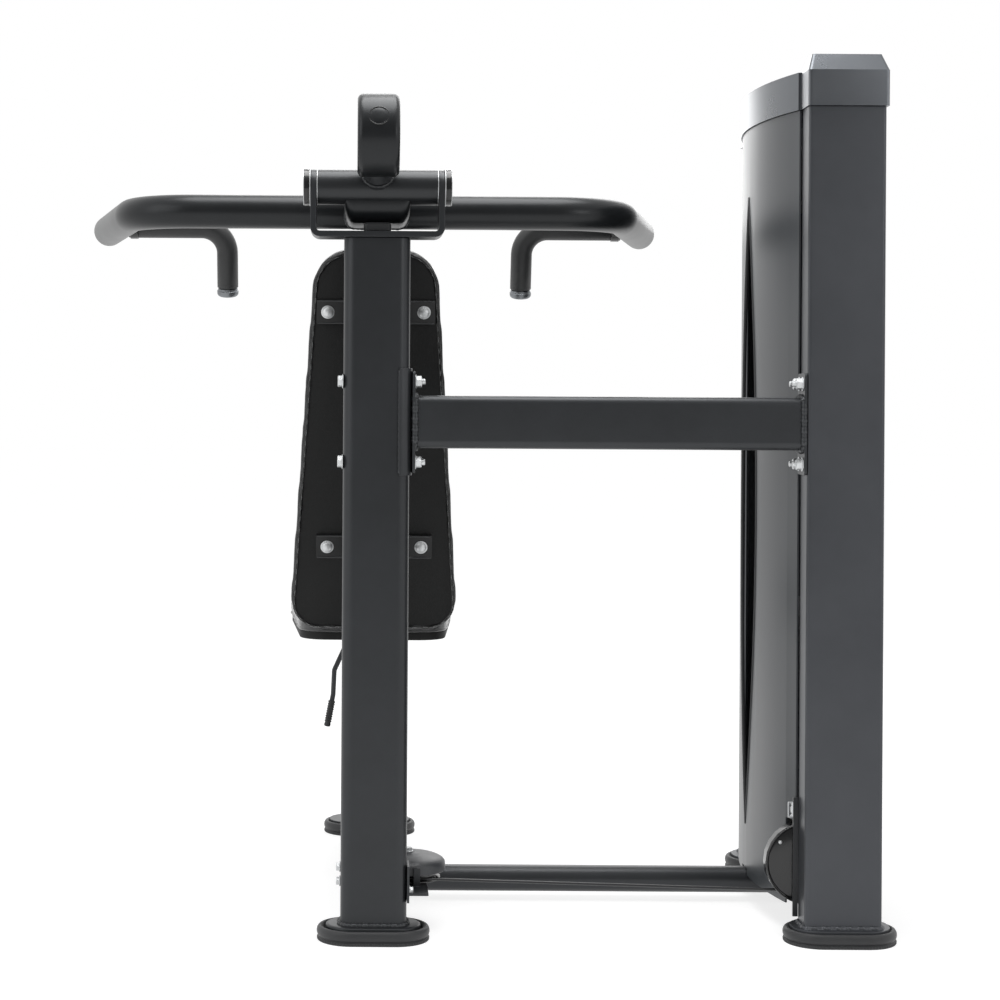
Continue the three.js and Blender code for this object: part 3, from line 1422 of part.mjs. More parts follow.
function bulgePoints(side, offset, from, to) {
  const half = (to - from) / 2;
  const radius = (half * half + SHROUD_BULGE * SHROUD_BULGE) / (2 * SHROUD_BULGE);
  const spread = Math.asin(half / radius);
  const edge = TOWER_POST_WIDTH / 2 + SHROUD_INSET + offset;
  const centre = TOWER_X + side * (edge + SHROUD_BULGE - radius);
  const middle = (from + to) / 2;
  const points = [];
  for (let i = 0; i <= 14; i += 1) {
    const angle = spread * (2 * i / 14 - 1);
    points.push(new THREE.Vector2(centre + side * radius * Math.cos(angle), middle + radius * Math.sin(angle)));
  }
  return points;
}

const SHROUD_REAR = TOWER_REAR_Y + FIT;
const SHROUD_FRONT = TOWER_FRONT_Y - FIT;

function shroud(side) {
  const outer = bulgePoints(side, 0, SHROUD_REAR, SHROUD_FRONT);
  const inner = bulgePoints(side, -SHROUD_WALL, SHROUD_REAR, SHROUD_FRONT).reverse();
  const points = [...outer, ...inner];
  return prismZ(outline(side > 0 ? points : points.reverse()), SHROUD_BOTTOM, TOWER_POST_TOP - FIT);
}

function windowCutter() {
  const half = (WINDOW_TOP - WINDOW_BOTTOM) / 2;
  const bulge = WINDOW_WIDTH / 2;
  const radius = (half * half + bulge * bulge) / (2 * bulge);
  const spread = Math.asin(half / radius);
  const middle = (WINDOW_TOP + WINDOW_BOTTOM) / 2;
  const right = arcPoints(bulge - radius, middle, radius, -spread, spread, 14);
  const left = arcPoints(radius - bulge, middle, radius, Math.PI - spread, Math.PI + spread, 14);
  const shape = outline([...right.slice(0, -1), ...left.slice(0, -1)]);
  return prismX(shape, TOWER_LEFT - 2 * SHROUD_BULGE, TOWER_LEFT + SHROUD_BULGE, WINDOW_Y);
}

function innerShroud() {
  const room = LOWER_TUBE_RADIUS + FIT;
  const notch = block(
    TOWER_LEFT - 2 * SHROUD_BULGE,
    TOWER_LEFT + SHROUD_BULGE,
    LOWER_TUBE_Y - room,
    LOWER_TUBE_Y + room,
    0,
    LOWER_TUBE_Z + room,
  );
  const { centre } = WRAPS.tower_low;
  const coverRoom = block(
    TOWER_LEFT - 2 * SHROUD_BULGE,
    TOWER_LEFT + SHROUD_BULGE,
    0,
    DISH_FRONT + 3 * FIT + TUBE_WALL,
    0,
    centre.z + DISH_RADIUS + TUBE_WALL,
  );
  return cut(shroud(-1), windowCutter(), notch, coverRoom);
}

build('inner_shroud', innerShroud(), 'panel');
build('outer_shroud', shroud(1), 'panel');

function capPlan(offset) {
  const rear = SHROUD_REAR + FIT - offset;
  const front = SHROUD_FRONT - FIT + offset;
  return [
    ...bulgePoints(1, offset, rear, front),
    ...bulgePoints(-1, offset, rear, front).reverse(),
  ];
}

function capBlock(y, offset, top, chamfer) {
  const width = TOWER_POST_WIDTH + 2 * (CAP_OVERHANG + offset);
  const depth = CAP_BLOCK_DEPTH + 2 * offset;
  const low = TOWER_POST_TOP - FIT - CUT_OVERRUN;
  const slope = top - CAP_SHOULDER - offset;
  const points = roundedRect(width, depth, TOWER_POST_CORNER, 2);
  const straight = prismZ(outline(points), low, top - slope, TOWER_X, y);
  const position = [];
  const topScaleX = (width - 2 * chamfer * CAP_SIDE_SHARE) / width;
  const topScaleY = (depth - 2 * chamfer) / depth;
  for (const [z, sx, sy] of [[top - slope - WELD_OVERLAP, 1, 1], [top, topScaleX, topScaleY]]) {
    for (const point of points) {
      position.push(TOWER_X + point.x * sx, y + point.y * sy, z);
    }
  }
  return join(straight, loft(position, points.length, 2));
}

// Closes a stack of rings, listed bottom ring first, each running anticlockwise seen from +Z.
function loft(position, count, rings) {
  const index = [];
  for (let ring = 0; ring < rings - 1; ring += 1) {
    for (let i = 0; i < count; i += 1) {
      const a = ring * count + i;
      const b = ring * count + (i + 1) % count;
      index.push(a, b, b + count, a, b + count, a + count);
    }
  }
  const top = (rings - 1) * count;
  for (let i = 1; i < count - 1; i += 1) {
    index.push(0, i + 1, i, top, top + i, top + i + 1);
  }
  const geometry = new THREE.BufferGeometry();
  geometry.setAttribute('position', new THREE.Float32BufferAttribute(position, 3));
  geometry.setIndex(index);
  return solid(geometry);
}

function towerCap() {
  const seat = TOWER_POST_TOP + FIT;
  const band = prismZ(outline(capPlan(CAP_OVERHANG)), seat, CAP_BAND_TOP);
  const blocks = [0, TOWER_DEPTH].map((y) => capBlock(y, 0, CAP_TOP, CAP_CHAMFER));
  const ridge = block(
    TOWER_X - TOWER_POST_WIDTH / 3,
    TOWER_X + TOWER_POST_WIDTH / 3,
    0,
    TOWER_DEPTH,
    CAP_SHOULDER,
    CAP_TOP - CAP_WALL,
  );
  const inside = prismZ(outline(capPlan(-CAP_WALL)), seat - CUT_OVERRUN, CAP_BAND_TOP - CAP_WALL);
  const below = block(
    TOWER_X - TOWER_POST_WIDTH,
    TOWER_X + TOWER_POST_WIDTH,
    -TOWER_DEPTH,
    2 * TOWER_DEPTH,
    0,
    seat,
  );
  return cut(join(band, ...blocks, ridge), inside, below);
}

build('tower_cap', towerCap(), 'cap');

// Back pad, leaning back about its lower edge

const pad = new THREE.Group();
pad.position.set(0, PAD_BOTTOM_Y, PAD_BOTTOM_Z);
pad.rotation.x = PAD_TILT;
machine.add(pad);

// A tapered outline with round corners, from its narrow end to its wide end.
function taperedOutline(length, farWidth, nearWidth, farCorner, nearCorner, inset, steps) {
  const lean = Math.atan2((nearWidth - farWidth) / 2, length);
  const quarter = Math.PI / 2;
  const far = farCorner - inset;
  const near = nearCorner - inset;
  const farX = farWidth / 2 - inset - far;
  const nearX = nearWidth / 2 - inset - near;
  const top = length / 2 - inset;
  return [
    ...arcPoints(nearX, near - top, near, -quarter, lean, steps),
    ...arcPoints(farX, top - far, far, lean, quarter, steps),
    ...arcPoints(-farX, top - far, far, quarter, 2 * quarter - lean, steps),
    ...arcPoints(-nearX, near - top, near, 2 * quarter - lean, 3 * quarter, steps),
  ];
}

function cushion(points, depth) {
  const extent = new THREE.Box2().setFromPoints(points).getSize(new THREE.Vector2()).multiplyScalar(0.5);
  const position = [];
  for (const [drawShare, heightShare] of CUSHION_SHARES) {
    const draw = drawShare * CUSHION_DRAW;
    for (const point of points) {
      const x = point.x * (1 - draw / extent.x);
      const y = point.y * (1 - draw / extent.y);
      position.push(x, y, heightShare * depth);
    }
  }
  const count = points.length;
  const rings = CUSHION_SHARES.length;
  const index = [];
  for (let ring = 0; ring < rings - 1; ring += 1) {
    for (let i = 0; i < count; i += 1) {
      const a = ring * count + i;
      const b = ring * count + (i + 1) % count;
      index.push(a, b, b + count, a, b + count, a + count);
    }
  }
  position.push(0, 0, 0, 0, 0, depth);
  const below = rings * count;
  const top = (rings - 1) * count;
  for (let i = 0; i < count; i += 1) {
    const next = (i + 1) % count;
    index.push(below, next, i, below + 1, top + i, top + next);
  }
  const geometry = new THREE.BufferGeometry();
  geometry.setAttribute('position', new THREE.Float32BufferAttribute(position, 3));
  geometry.setIndex(index);
  return geometry;
}

// Turns a flat piece so that its outline stands up along +Z and its thickness points along +Y.
function stood(geometry, lift, forward) {
  geometry.applyMatrix4(new THREE.Matrix4().makeBasis(
    new THREE.Vector3(-1, 0, 0),
    new THREE.Vector3(0, 0, 1),
    new THREE.Vector3(0, 1, 0),
  ));
  geometry.translate(0, forward, lift);
  return solid(geometry);
}

function padOutline(inset, steps) {
  return taperedOutline(
    PAD_LENGTH,
    PAD_TOP_WIDTH,
    PAD_BOTTOM_WIDTH,
    PAD_TOP_CORNER,
    PAD_BOTTOM_CORNER,
    inset,
    steps,
  );
}

function padBoard() {
  const geometry = new THREE.ExtrudeGeometry(outline(padOutline(PAD_BOARD_INSET, 6)), {
    depth: PAD_BOARD,
    bevelEnabled: false,
  });
  return stood(geometry, PAD_LENGTH / 2, 0);
}

build('back_pad_board', padBoard(), 'board', pad);
build(
  'back_pad_cushion',
  stood(cushion(padOutline(0, 12), PAD_FOAM), PAD_LENGTH / 2, PAD_BOARD + FIT),
  'vinyl',
  pad,
);

// Pad brackets from the front of the post to straps behind the board

function strapCentre(lift) {
  return vector(
    0,
    PAD_BOTTOM_Y - lift * Math.sin(PAD_TILT),
    PAD_BOTTOM_Z + lift * Math.cos(PAD_TILT),
  );
}

function padBracket(lift) {
  const plane = strapCentre(lift);
  const front = vector(0, Math.cos(PAD_TILT), Math.sin(PAD_TILT));
  const up = vector(0, -Math.sin(PAD_TILT), Math.cos(PAD_TILT));
  const strapGeometry = new THREE.BoxGeometry(STRAP_WIDTH, STRAP, STRAP_HEIGHT);
  strapGeometry.rotateX(PAD_TILT);
  const middle = plane.clone().addScaledVector(front, -STRAP / 2 - FIT);
  strapGeometry.translate(middle.x, middle.y, middle.z);
  const backFace = plane.clone().addScaledVector(front, -STRAP - FIT + WELD_OVERLAP);
  const high = backFace.clone().addScaledVector(up, STRAP_HEIGHT / 2);
  const low = backFace.clone().addScaledVector(up, -STRAP_HEIGHT / 2);
  const start = POST_FRONT + FIT;
  const web = outline([
    new THREE.Vector2(start, plane.z - BRACKET_HEIGHT / 2),
    new THREE.Vector2(low.y, low.z),
    new THREE.Vector2(high.y, high.z),
    new THREE.Vector2(start, plane.z + BRACKET_HEIGHT / 2),
  ]);
  const webs = [-1, 1].map((side) => {
    const x = side * BRACKET_GAUGE / 2;
    return prismX(web, x - STRAP / 2, x + STRAP / 2);
  });
  const plate = block(
    -BRACKET_GAUGE / 2 - STRAP / 2,
    BRACKET_GAUGE / 2 + STRAP / 2,
    start,
    start + STRAP,
    plane.z - BRACKET_HEIGHT / 2,
    plane.z + BRACKET_HEIGHT / 2,
  );
  return join(solid(strapGeometry), ...webs, plate);
}

build('upper_pad_bracket', padBracket(PAD_LENGTH - UPPER_STRAP_DROP), 'frame');
build('lower_pad_bracket', padBracket(LOWER_STRAP_LIFT), 'frame');

// Seat on a sliding stem

function seatSleeve() {
  const tube = prismZ(
    tubeOutline(SLEEVE_TUBE, SLEEVE_TUBE, TUBE_WALL * 2, TUBE_WALL, 3),
    BEAM_TOP + FIT,
    SLEEVE_TOP,
    0,
    SEAT_Y,
  );
  const room = SLEEVE_TUBE - 2 * TUBE_WALL;
  const foot = prismZ(
    outline(roundedRect(BEAM_WIDTH * 1.5, SLEEVE_FOOT, TUBE_WALL), roundedRect(room, room, TUBE_WALL)),
    BEAM_TOP + FIT,
    BEAM_TOP + FIT + TUBE_WALL * 2,
    0,
    SEAT_Y,
  );
  return join(tube, foot);
}

function seatBush() {
  const bore = roundedRect(STEM_TUBE + 2 * FIT, STEM_TUBE + 2 * FIT, TUBE_WALL, 3);
  const room = SLEEVE_TUBE - 2 * TUBE_WALL - 2 * FIT;
  const liner = prismZ(
    outline(roundedRect(room, room, TUBE_WALL, 3), bore),
    SLEEVE_TOP - SLEEVE_BUSH,
    SLEEVE_TOP + SLEEVE_COLLAR,
    0,
    SEAT_Y,
  );
  const wide = SLEEVE_TUBE + SLEEVE_COLLAR;
  const collar = prismZ(
    outline(roundedRect(wide, wide, SLEEVE_COLLAR, 3), bore),
    SLEEVE_TOP + FIT,
    SLEEVE_TOP + SLEEVE_COLLAR,
    0,
    SEAT_Y,
  );
  return join(liner, collar);
}

function seatStem() {
  const tube = prismZ(
    tubeOutline(STEM_TUBE, STEM_TUBE, TUBE_WALL, TUBE_WALL / 2 + WELD_OVERLAP, 3),
    STEM_BOTTOM,
    STEM_PLATE_BOTTOM + WELD_OVERLAP,
    0,
    SEAT_Y,
  );
  const plate = prismZ(
    outline(roundedRect(STEM_PLATE_WIDTH, STEM_PLATE_LENGTH, STEM_PLATE)),
    STEM_PLATE_BOTTOM,
    STEM_PLATE_BOTTOM + STEM_PLATE,
    0,
    SEAT_Y,
  );
  const ear = block(
    -LEVER_PIVOT_X + LEVER_BOSS / 2 + FIT,
    -STEM_TUBE / 2 + WELD_OVERLAP,
    LEVER_Y - LEVER_BOSS_RADIUS,
    LEVER_Y + LEVER_BOSS_RADIUS,
    LEVER_PIVOT_Z - LEVER_BOSS_RADIUS,
    STEM_PLATE_BOTTOM + WELD_OVERLAP,
  );
  return join(tube, plate, ear);
}

function seatOutline(inset, steps) {
  return taperedOutline(
    SEAT_LENGTH,
    SEAT_FRONT_WIDTH,
    SEAT_REAR_WIDTH,
    SEAT_CORNER,
    SEAT_CORNER,
    inset,
    steps,
  );
}

function seatBoard() {
  return prismZ(
    outline(seatOutline(PAD_BOARD_INSET, 5)),
    SEAT_BOARD_BOTTOM,
    SEAT_BOARD_BOTTOM + SEAT_BOARD,
    0,
    SEAT_Y,
  );
}

function seatCushion() {
  const geometry = cushion(seatOutline(0, 11), SEAT_FOAM);
  geometry.translate(0, SEAT_Y, SEAT_FOAM_BOTTOM);
  return solid(geometry);
}

build('seat_sleeve', seatSleeve(), 'frame');
build('seat_bush', seatBush(), 'plastic');
build('seat_stem', seatStem(), 'chrome');
build('seat_board', seatBoard(), 'board');
build('seat_cushion', seatCushion(), 'vinyl');

// Seat lever on the user's left, with its ribbed grip

const LEVER_PATH = [
  vector(-LEVER_PIVOT_X, LEVER_Y, LEVER_PIVOT_Z),
  vector(-LEVER_ELBOW_X, LEVER_Y, STEM_PLATE_BOTTOM - LEVER_ELBOW_DROP),
  vector(-LEVER_KNEE_X, LEVER_Y, STEM_PLATE_BOTTOM - LEVER_KNEE_DROP),
  vector(-LEVER_END_X, LEVER_Y, STEM_PLATE_BOTTOM - LEVER_END_DROP),
];

function seatLever() {
  const boss = rod(
    LEVER_BOSS_RADIUS,
    vector(-LEVER_PIVOT_X - LEVER_BOSS / 2, LEVER_Y, LEVER_PIVOT_Z),
    vector(-LEVER_PIVOT_X + LEVER_BOSS / 2, LEVER_Y, LEVER_PIVOT_Z),
    16,
  );
  const handle = swept(outline(circlePoints(LEVER_RADIUS, 10)), filleted(LEVER_PATH, LEVER_BOSS_RADIUS, 3));
  return join(boss, handle);
}

function leverGrip() {
  const end = LEVER_PATH[3];
  const direction = end.clone().sub(LEVER_PATH[2]);
  const length = direction.length() - LEVER_BOSS_RADIUS;
  const inner = LEVER_RADIUS + FIT;
  const geometry = turned([
    [inner, -length],
    [LEVER_GRIP_RADIUS, -length],
    [LEVER_GRIP_RADIUS, FIT],
    [LEVER_GRIP_RADIUS * LEVER_TIP_SHARE, TUBE_WALL],
    [0, TUBE_WALL],
    [0, FIT],
    [inner, FIT],
    [inner, -length],
  ], 12);
  return aimed(geometry, direction, end);
}

build('seat_lever', seatLever(), 'frame');
build('seat_lever_grip', leverGrip(), 'rubber');

export default machine;
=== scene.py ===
"""Looks of a seated shoulder press machine with a weight tower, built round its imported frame.

Lengths are in millimetres until a mesh is made, which is in metres. +X points to the weight
tower, +Y is the way the user faces, and +Z is up.
"""
import logging
import math
from dataclasses import dataclass, field
from enum import Enum
from functools import partial
from typing import Callable, Sequence

import bmesh
import bpy
from mathutils import Matrix, Vector
from mathutils.bvhtree import BVHTree


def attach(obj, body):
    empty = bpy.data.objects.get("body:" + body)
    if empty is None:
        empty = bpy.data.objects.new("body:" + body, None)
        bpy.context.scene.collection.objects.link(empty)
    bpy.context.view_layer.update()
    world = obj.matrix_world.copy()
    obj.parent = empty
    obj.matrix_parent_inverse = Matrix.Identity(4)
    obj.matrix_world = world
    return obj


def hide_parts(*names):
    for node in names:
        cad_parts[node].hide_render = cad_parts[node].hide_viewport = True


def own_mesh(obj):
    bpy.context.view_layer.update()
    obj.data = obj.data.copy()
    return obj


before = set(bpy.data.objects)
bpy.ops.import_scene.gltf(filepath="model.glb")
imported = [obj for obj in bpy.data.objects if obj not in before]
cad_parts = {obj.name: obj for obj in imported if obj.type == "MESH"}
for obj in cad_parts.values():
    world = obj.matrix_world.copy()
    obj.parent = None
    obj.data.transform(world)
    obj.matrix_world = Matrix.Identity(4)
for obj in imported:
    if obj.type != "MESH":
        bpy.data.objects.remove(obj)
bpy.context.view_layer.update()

LOG = logging.getLogger("shoulder_press")
MM = 0.001
LEFT, RIGHT = Vector((-1, 0, 0)), Vector((1, 0, 0))
REAR, UP = Vector((0, -1, 0)), Vector((0, 0, 1))
SIDES = (("left", -1), ("right", 1))
SHARP = 35.0  # Degrees. Edges that turn by more are kept sharp, or eased.
ALL_SMOOTH = 80.0  # The same limit on beads and cords, which have no sharp edge.
Point = tuple[float, float]
Shape = tuple[list[Vector], list[list[int]]]
Place = Callable[[float, float, float], Vector]
Piece = bpy.types.Object
Socket = bpy.types.NodeSocket
Adder = Callable[..., Socket | None]


# Colour and node helpers


def linear(colour: str) -> tuple[float, float, float, float]:
    """Turn an sRGB colour, #rrggbb, into linear red, green, blue and alpha."""
    channels = [int(colour[i:i + 2], 16) / 255 for i in (1, 3, 5)]
    values = [c / 12.92 if c <= 0.04045 else ((c + 0.055) / 1.055) ** 2.4 for c in channels]
    return values[0], values[1], values[2], 1.0


def add_node(
    tree: bpy.types.NodeTree, kind: str, output: str | int | None, sockets: dict | None = None,
    **settings: object,
) -> Socket | None:
    """Add one shader node with its settings, socket values and links.

    Args:
        tree: The node tree that takes the node.
        kind: The node's type name, without the word ShaderNode.
        output: Name or number of the output to return, or None where the node has none.
        sockets: Input name or number to a plain value, or to the output that feeds it.
        **settings: Properties of the node itself.

    Returns:
        The chosen output.
    """
    node = tree.nodes.new(f"ShaderNode{kind}")
    for key, value in settings.items():
        setattr(node, key, value)
    for key, value in (sockets or {}).items():
        if isinstance(value, Socket):
            tree.links.new(value, node.inputs[key])
        else:
            node.inputs[key].default_value = value
    return None if output is None else node.outputs[output]


def node_adder(owner: bpy.types.Material | bpy.types.World) -> Adder:
    """Empty the node tree of a material or a world, and bind the node helper to it."""
    owner.use_nodes = True
    owner.node_tree.nodes.clear()
    return partial(add_node, owner.node_tree)


class Grain(Enum):
    """The kinds of fine surface pattern."""

    SPRAYED = "sprayed"
    LEATHER = "leather"
    MOULDED = "moulded"
    SAND_CAST = "sand cast"
    DRAWN = "drawn"


@dataclass(frozen=True)
class Finish:
    """A material and how its surface was made.

    Attributes:
        name: Plain name of the material and its making.
        slot: The record's material slot. Not used by this script.
        colour: Main colour in sRGB hex.
        shade: Second colour of the mottling in sRGB hex.
        roughness: Middle of the roughness.
        spread: How far the roughness wanders up and down.
        grain: Kind of fine pattern.
        grain_mm: Size of one grain of the pattern.
        relief_mm: Height of the pattern.
        metallic: 1 for bare metal, less for metal flake in paint, and 0 for the rest.
        ior: Index of refraction, left alone where there is metal.
        coat: Weight of a clear glossy coat.
        sheen: Weight of the soft fuzz of rubber or cloth.
        wear: How far raised edges lighten, from 0 to 1.
    """

    name: str
    slot: str
    colour: str
    shade: str
    roughness: float
    spread: float
    grain: Grain
    grain_mm: float
    relief_mm: float
    metallic: float = 0.0
    ior: float = 1.5
    coat: float = 0.0
    sheen: float = 0.0
    wear: float = 0.0

    def material(self) -> bpy.types.Material:
        """Build the material, or find the one already built."""
        found = bpy.data.materials.get(self.name)
        if found:
            return found
        made = bpy.data.materials.new(self.name)
        add = node_adder(made)
        place = add("TexCoord", "Object")
        height = self._height(add, place)
        noise = {"Scale": 9.0, "Detail": 4.0, "Roughness": 0.6, "Vector": place}
        cloud = add("TexNoise", "Fac", noise)
        both = add("Math", 0, {0: height, 1: 0.5, 2: cloud}, operation="MULTIPLY_ADD")
        amount = add("MapRange", "Result", {"Value": both, "From Min": 0.45, "From Max": 1.05})
        colours = {0: amount, 6: linear(self.colour), 7: linear(self.shade)}
        mix = add("Mix", 2, colours, data_type="RGBA")
        if self.wear:
            mix = self._worn(add, mix)
        limits = {"To Min": self.roughness - self.spread, "To Max": self.roughness + self.spread}
        rough = add("MapRange", "Result", {"Value": cloud, **limits})
        relief = {"Strength": 0.6, "Distance": self.relief_mm * MM, "Height": height}
        sockets = {"Base Color": mix, "Roughness": rough, "Normal": add("Bump", "Normal", relief)}
        sockets["Metallic"] = self.metallic
        if not self.metallic:
            sockets["IOR"] = self.ior
        if self.coat:
            sockets.update({"Coat Weight": self.coat, "Coat Roughness": 0.08})
        if self.sheen:
            sockets.update({"Sheen Weight": self.sheen, "Sheen Roughness": 0.5})
        add("OutputMaterial", None, {"Surface": add("BsdfPrincipled", "BSDF", sockets)})
        return made

    def _worn(self, add: Adder, colour: Socket) -> Socket:
        """Lighten the raised edges of a colour, where paint polishes and thins."""
        edge = add("NewGeometry", "Pointiness")
        limits = {"From Min": 0.53, "From Max": 0.62, "To Max": self.wear}
        amount = add("MapRange", "Result", {"Value": edge, **limits})
        return add("Mix", 2, {0: amount, 6: colour, 7: linear("#8d8f92")}, data_type="RGBA")

    def _height(self, add: Adder, place: Socket) -> Socket:
        """Make the height of the fine pattern, from 0 to 1, at coordinates in metres."""
        noise = {"Scale": 1 / (self.grain_mm * MM), "Vector": place}
        if self.grain is Grain.LEATHER:
            noise["Randomness"] = 0.9
            cells = add("TexVoronoi", "Distance", noise, feature="DISTANCE_TO_EDGE")
            limits = {"From Max": 0.35, "Value": cells}
            return add("MapRange", "Result", limits, interpolation_type="SMOOTHSTEP")
        if self.grain is Grain.DRAWN:
            noise["Vector"] = add("Mapping", "Vector", {"Scale": (1.0, 1.0, 0.03), "Vector": place})
            return add("TexNoise", "Fac", {"Detail": 2.0, **noise})
        detail = {Grain.SPRAYED: 2.0, Grain.MOULDED: 1.0, Grain.SAND_CAST: 6.0}[self.grain]
        return add("TexNoise", "Fac", {"Detail": detail, "Roughness": 0.55, **noise})


# Polyester powder coat with a little aluminium flake, sprayed and baked on steel: charcoal and
# dull face on, silvery where the light grazes it. The real grit is 0.1 mm and too fine to show,
# so it is drawn 1.5 mm wide.
POWDER_COAT = Finish(
    "powder_coated_steel", "frame_paint", "#292b2d", "#313336", 0.35, 0.04,
    Grain.SPRAYED, 1.5, 0.03, metallic=0.4, wear=0.12,
)
# The arm's coat is nearly black face on and still turns light where a tube curves away.
ARM_COAT = Finish(
    "powder_coated_arm_steel", "frame_paint", "#1b1d1f", "#222426", 0.33, 0.04,
    Grain.SPRAYED, 1.5, 0.03, metallic=0.42, wear=0.12,
)
# The tower wears the same flake powder coat in a lighter grey.
TOWER_COAT = Finish(
    "powder_coated_tower_steel", "tower_paint", "#44464a", "#4b4d51", 0.36, 0.04,
    Grain.SPRAYED, 1.5, 0.03, metallic=0.5, wear=0.12,
)
# Satin powder coat on rolled sheet: smoother, so it takes a soft light along its curve.
SHEET_COAT = Finish(
    "powder_coated_sheet", "shroud_panel", "#36393c", "#3c3f42", 0.33, 0.03,
    Grain.SPRAYED, 1.8, 0.02, ior=1.48, wear=0.1,
)
# Black enamel on the small brackets shows thin bright lines along its edges.
BLACK_ENAMEL = Finish(
    "black_enamelled_steel", "frame_paint", "#0b0c0d", "#121314", 0.3, 0.04,
    Grain.SPRAYED, 1.5, 0.02, ior=1.42, wear=0.2,
)
# Moulded ABS sprayed with flake paint: mid grey face on and silver on its slopes and sides.
MOULDED_ABS = Finish(
    "flake_painted_abs", "cap_plastic", "#64676b", "#6c6f73", 0.28, 0.04,
    Grain.MOULDED, 1.2, 0.01, metallic=0.85,
)
# Polished black ABS shows sharp highlights on covers and plugs.
GLOSS_ABS = Finish(
    "polished_black_abs", "gloss_plastic", "#0c0d0e", "#111213", 0.18, 0.03,
    Grain.MOULDED, 4.0, 0.01, coat=0.2,
)
# Spark-eroded ABS on the low cover spreads its highlights to a satin mid grey.
SATIN_ABS = Finish(
    "satin_abs", "gloss_plastic", "#333538", "#3b3d40", 0.42, 0.05,
    Grain.MOULDED, 1.4, 0.04, ior=1.53,
)
# Moulded SBR rubber on the feet is dull and a little dusty.
FOOT_RUBBER = Finish(
    "moulded_sbr_rubber", "foot_rubber", "#202123", "#2b2c2e", 0.55, 0.06,
    Grain.MOULDED, 1.5, 0.06, ior=1.52, sheen=0.15,
)
# Foamed nitrile rubber on the grips has a soft skin with fine pores.
GRIP_RUBBER = Finish(
    "foamed_nitrile_rubber", "grip_rubber", "#1d1e1f", "#252627", 0.5, 0.05,
    Grain.SAND_CAST, 1.2, 0.08, ior=1.52, sheen=0.1,
)
# Upholstery vinyl on foam: a pebbled leather grain, drawn 2 mm wide to show.
VINYL = Finish(
    "upholstery_vinyl", "vinyl", "#232425", "#1b1c1d", 0.34, 0.05,
    Grain.LEATHER, 2.2, 0.1, ior=1.52, sheen=0.6,
)
# Vacuum-formed backing board with a leather-like pebble, nearly black and dull.
BACKING = Finish(
    "pebbled_backing_board", "board", "#090a0a", "#101111", 0.62, 0.06,
    Grain.LEATHER, 3.0, 0.2, ior=1.38,
)
# Stitches in a pale grey that is a painted highlight, so that each stitch reads as a short bright
# dash of light along the piping.
STITCH_HIGHLIGHT = Finish(
    "pale_stitches_painted_highlight", "vinyl", "#7f8081", "#6b6c6d", 0.55, 0.05,
    Grain.MOULDED, 0.8, 0.02, sheen=0.3,
)
# Calendered vinyl over the piping cord is polished by handling, so it flashes between stitches.
PIPING_VINYL = Finish(
    "piping_vinyl", "vinyl", "#0e0f0f", "#131414", 0.24, 0.04,
    Grain.MOULDED, 3.0, 0.02,
)
# Bright zinc plate on steel fasteners is pale with a soft shine.
ZINC = Finish(
    "zinc_plated_steel", "zinc", "#dcdedf", "#cbcdce", 0.42, 0.06,
    Grain.SAND_CAST, 1.0, 0.02, metallic=0.65,
)
# Hard chrome on ground rod mirrors the room.
CHROME = Finish(
    "chromed_steel_rod", "chrome", "#d9dbdc", "#d0d2d3", 0.1, 0.03,
    Grain.DRAWN, 1.5, 0.01, metallic=1.0,
)
# Turned aluminium, anodised grey, on the ends of the handles keeps faint lathe lines.
ALUMINIUM = Finish(
    "anodised_aluminium", "zinc", "#85888b", "#797c7f", 0.4, 0.05,
    Grain.DRAWN, 0.8, 0.02, metallic=1.0,
)
# Sintered bronze is warm and porous.
BRONZE = Finish(
    "sintered_bronze", "bronze_bush", "#a3814a", "#8f6f3d", 0.4, 0.08,
    Grain.SAND_CAST, 1.0, 0.04, metallic=1.0,
)
# Painted grey iron keeps the pits of its sand mould.
CAST_IRON = Finish(
    "painted_cast_iron", "cast_iron", "#28292b", "#303133", 0.55, 0.06,
    Grain.SAND_CAST, 2.5, 0.15, wear=0.4,
)
# Nylon jacket over steel rope is smooth and half glossy.
NYLON_JACKET = Finish(
    "nylon_jacket", "cable_cover", "#17181a", "#1d1e20", 0.36, 0.04,
    Grain.MOULDED, 1.5, 0.01, ior=1.53,
)


# Outlines and paths


def sweep(start: float, end: float, steps: int) -> list[float]:
    """Even steps from start to end."""
    return [start + (end - start) * i / steps for i in range(steps + 1)]


def arc(x: float, y: float, wide: float, tall: float, angles: Sequence[float]) -> list[Point]:
    """Points on an ellipse about x and y, at some angles."""
    return [(x + wide * math.cos(a), y + tall * math.sin(a)) for a in angles]


def rounded_outline(width: float, height: float, radius: float, steps: int = 8) -> list[Point]:
    """Trace a rectangle with round corners of so many steps each, anticlockwise."""
    x, y = width / 2 - radius, height / 2 - radius
    points: list[Point] = []
    for turn, (sx, sy) in enumerate(((1, 1), (-1, 1), (-1, -1), (1, -1))):
        angles = sweep(math.pi / 2 * turn, math.pi / 2 * (turn + 1), steps)
        points += arc(sx * x, sy * y, radius, radius, angles)
    return points


def capsule(length: float, depth: float, steps: int = 20) -> list[Point]:
    """Trace a racetrack with round ends."""
    return rounded_outline(length, depth, depth / 2 - 0.01, steps)


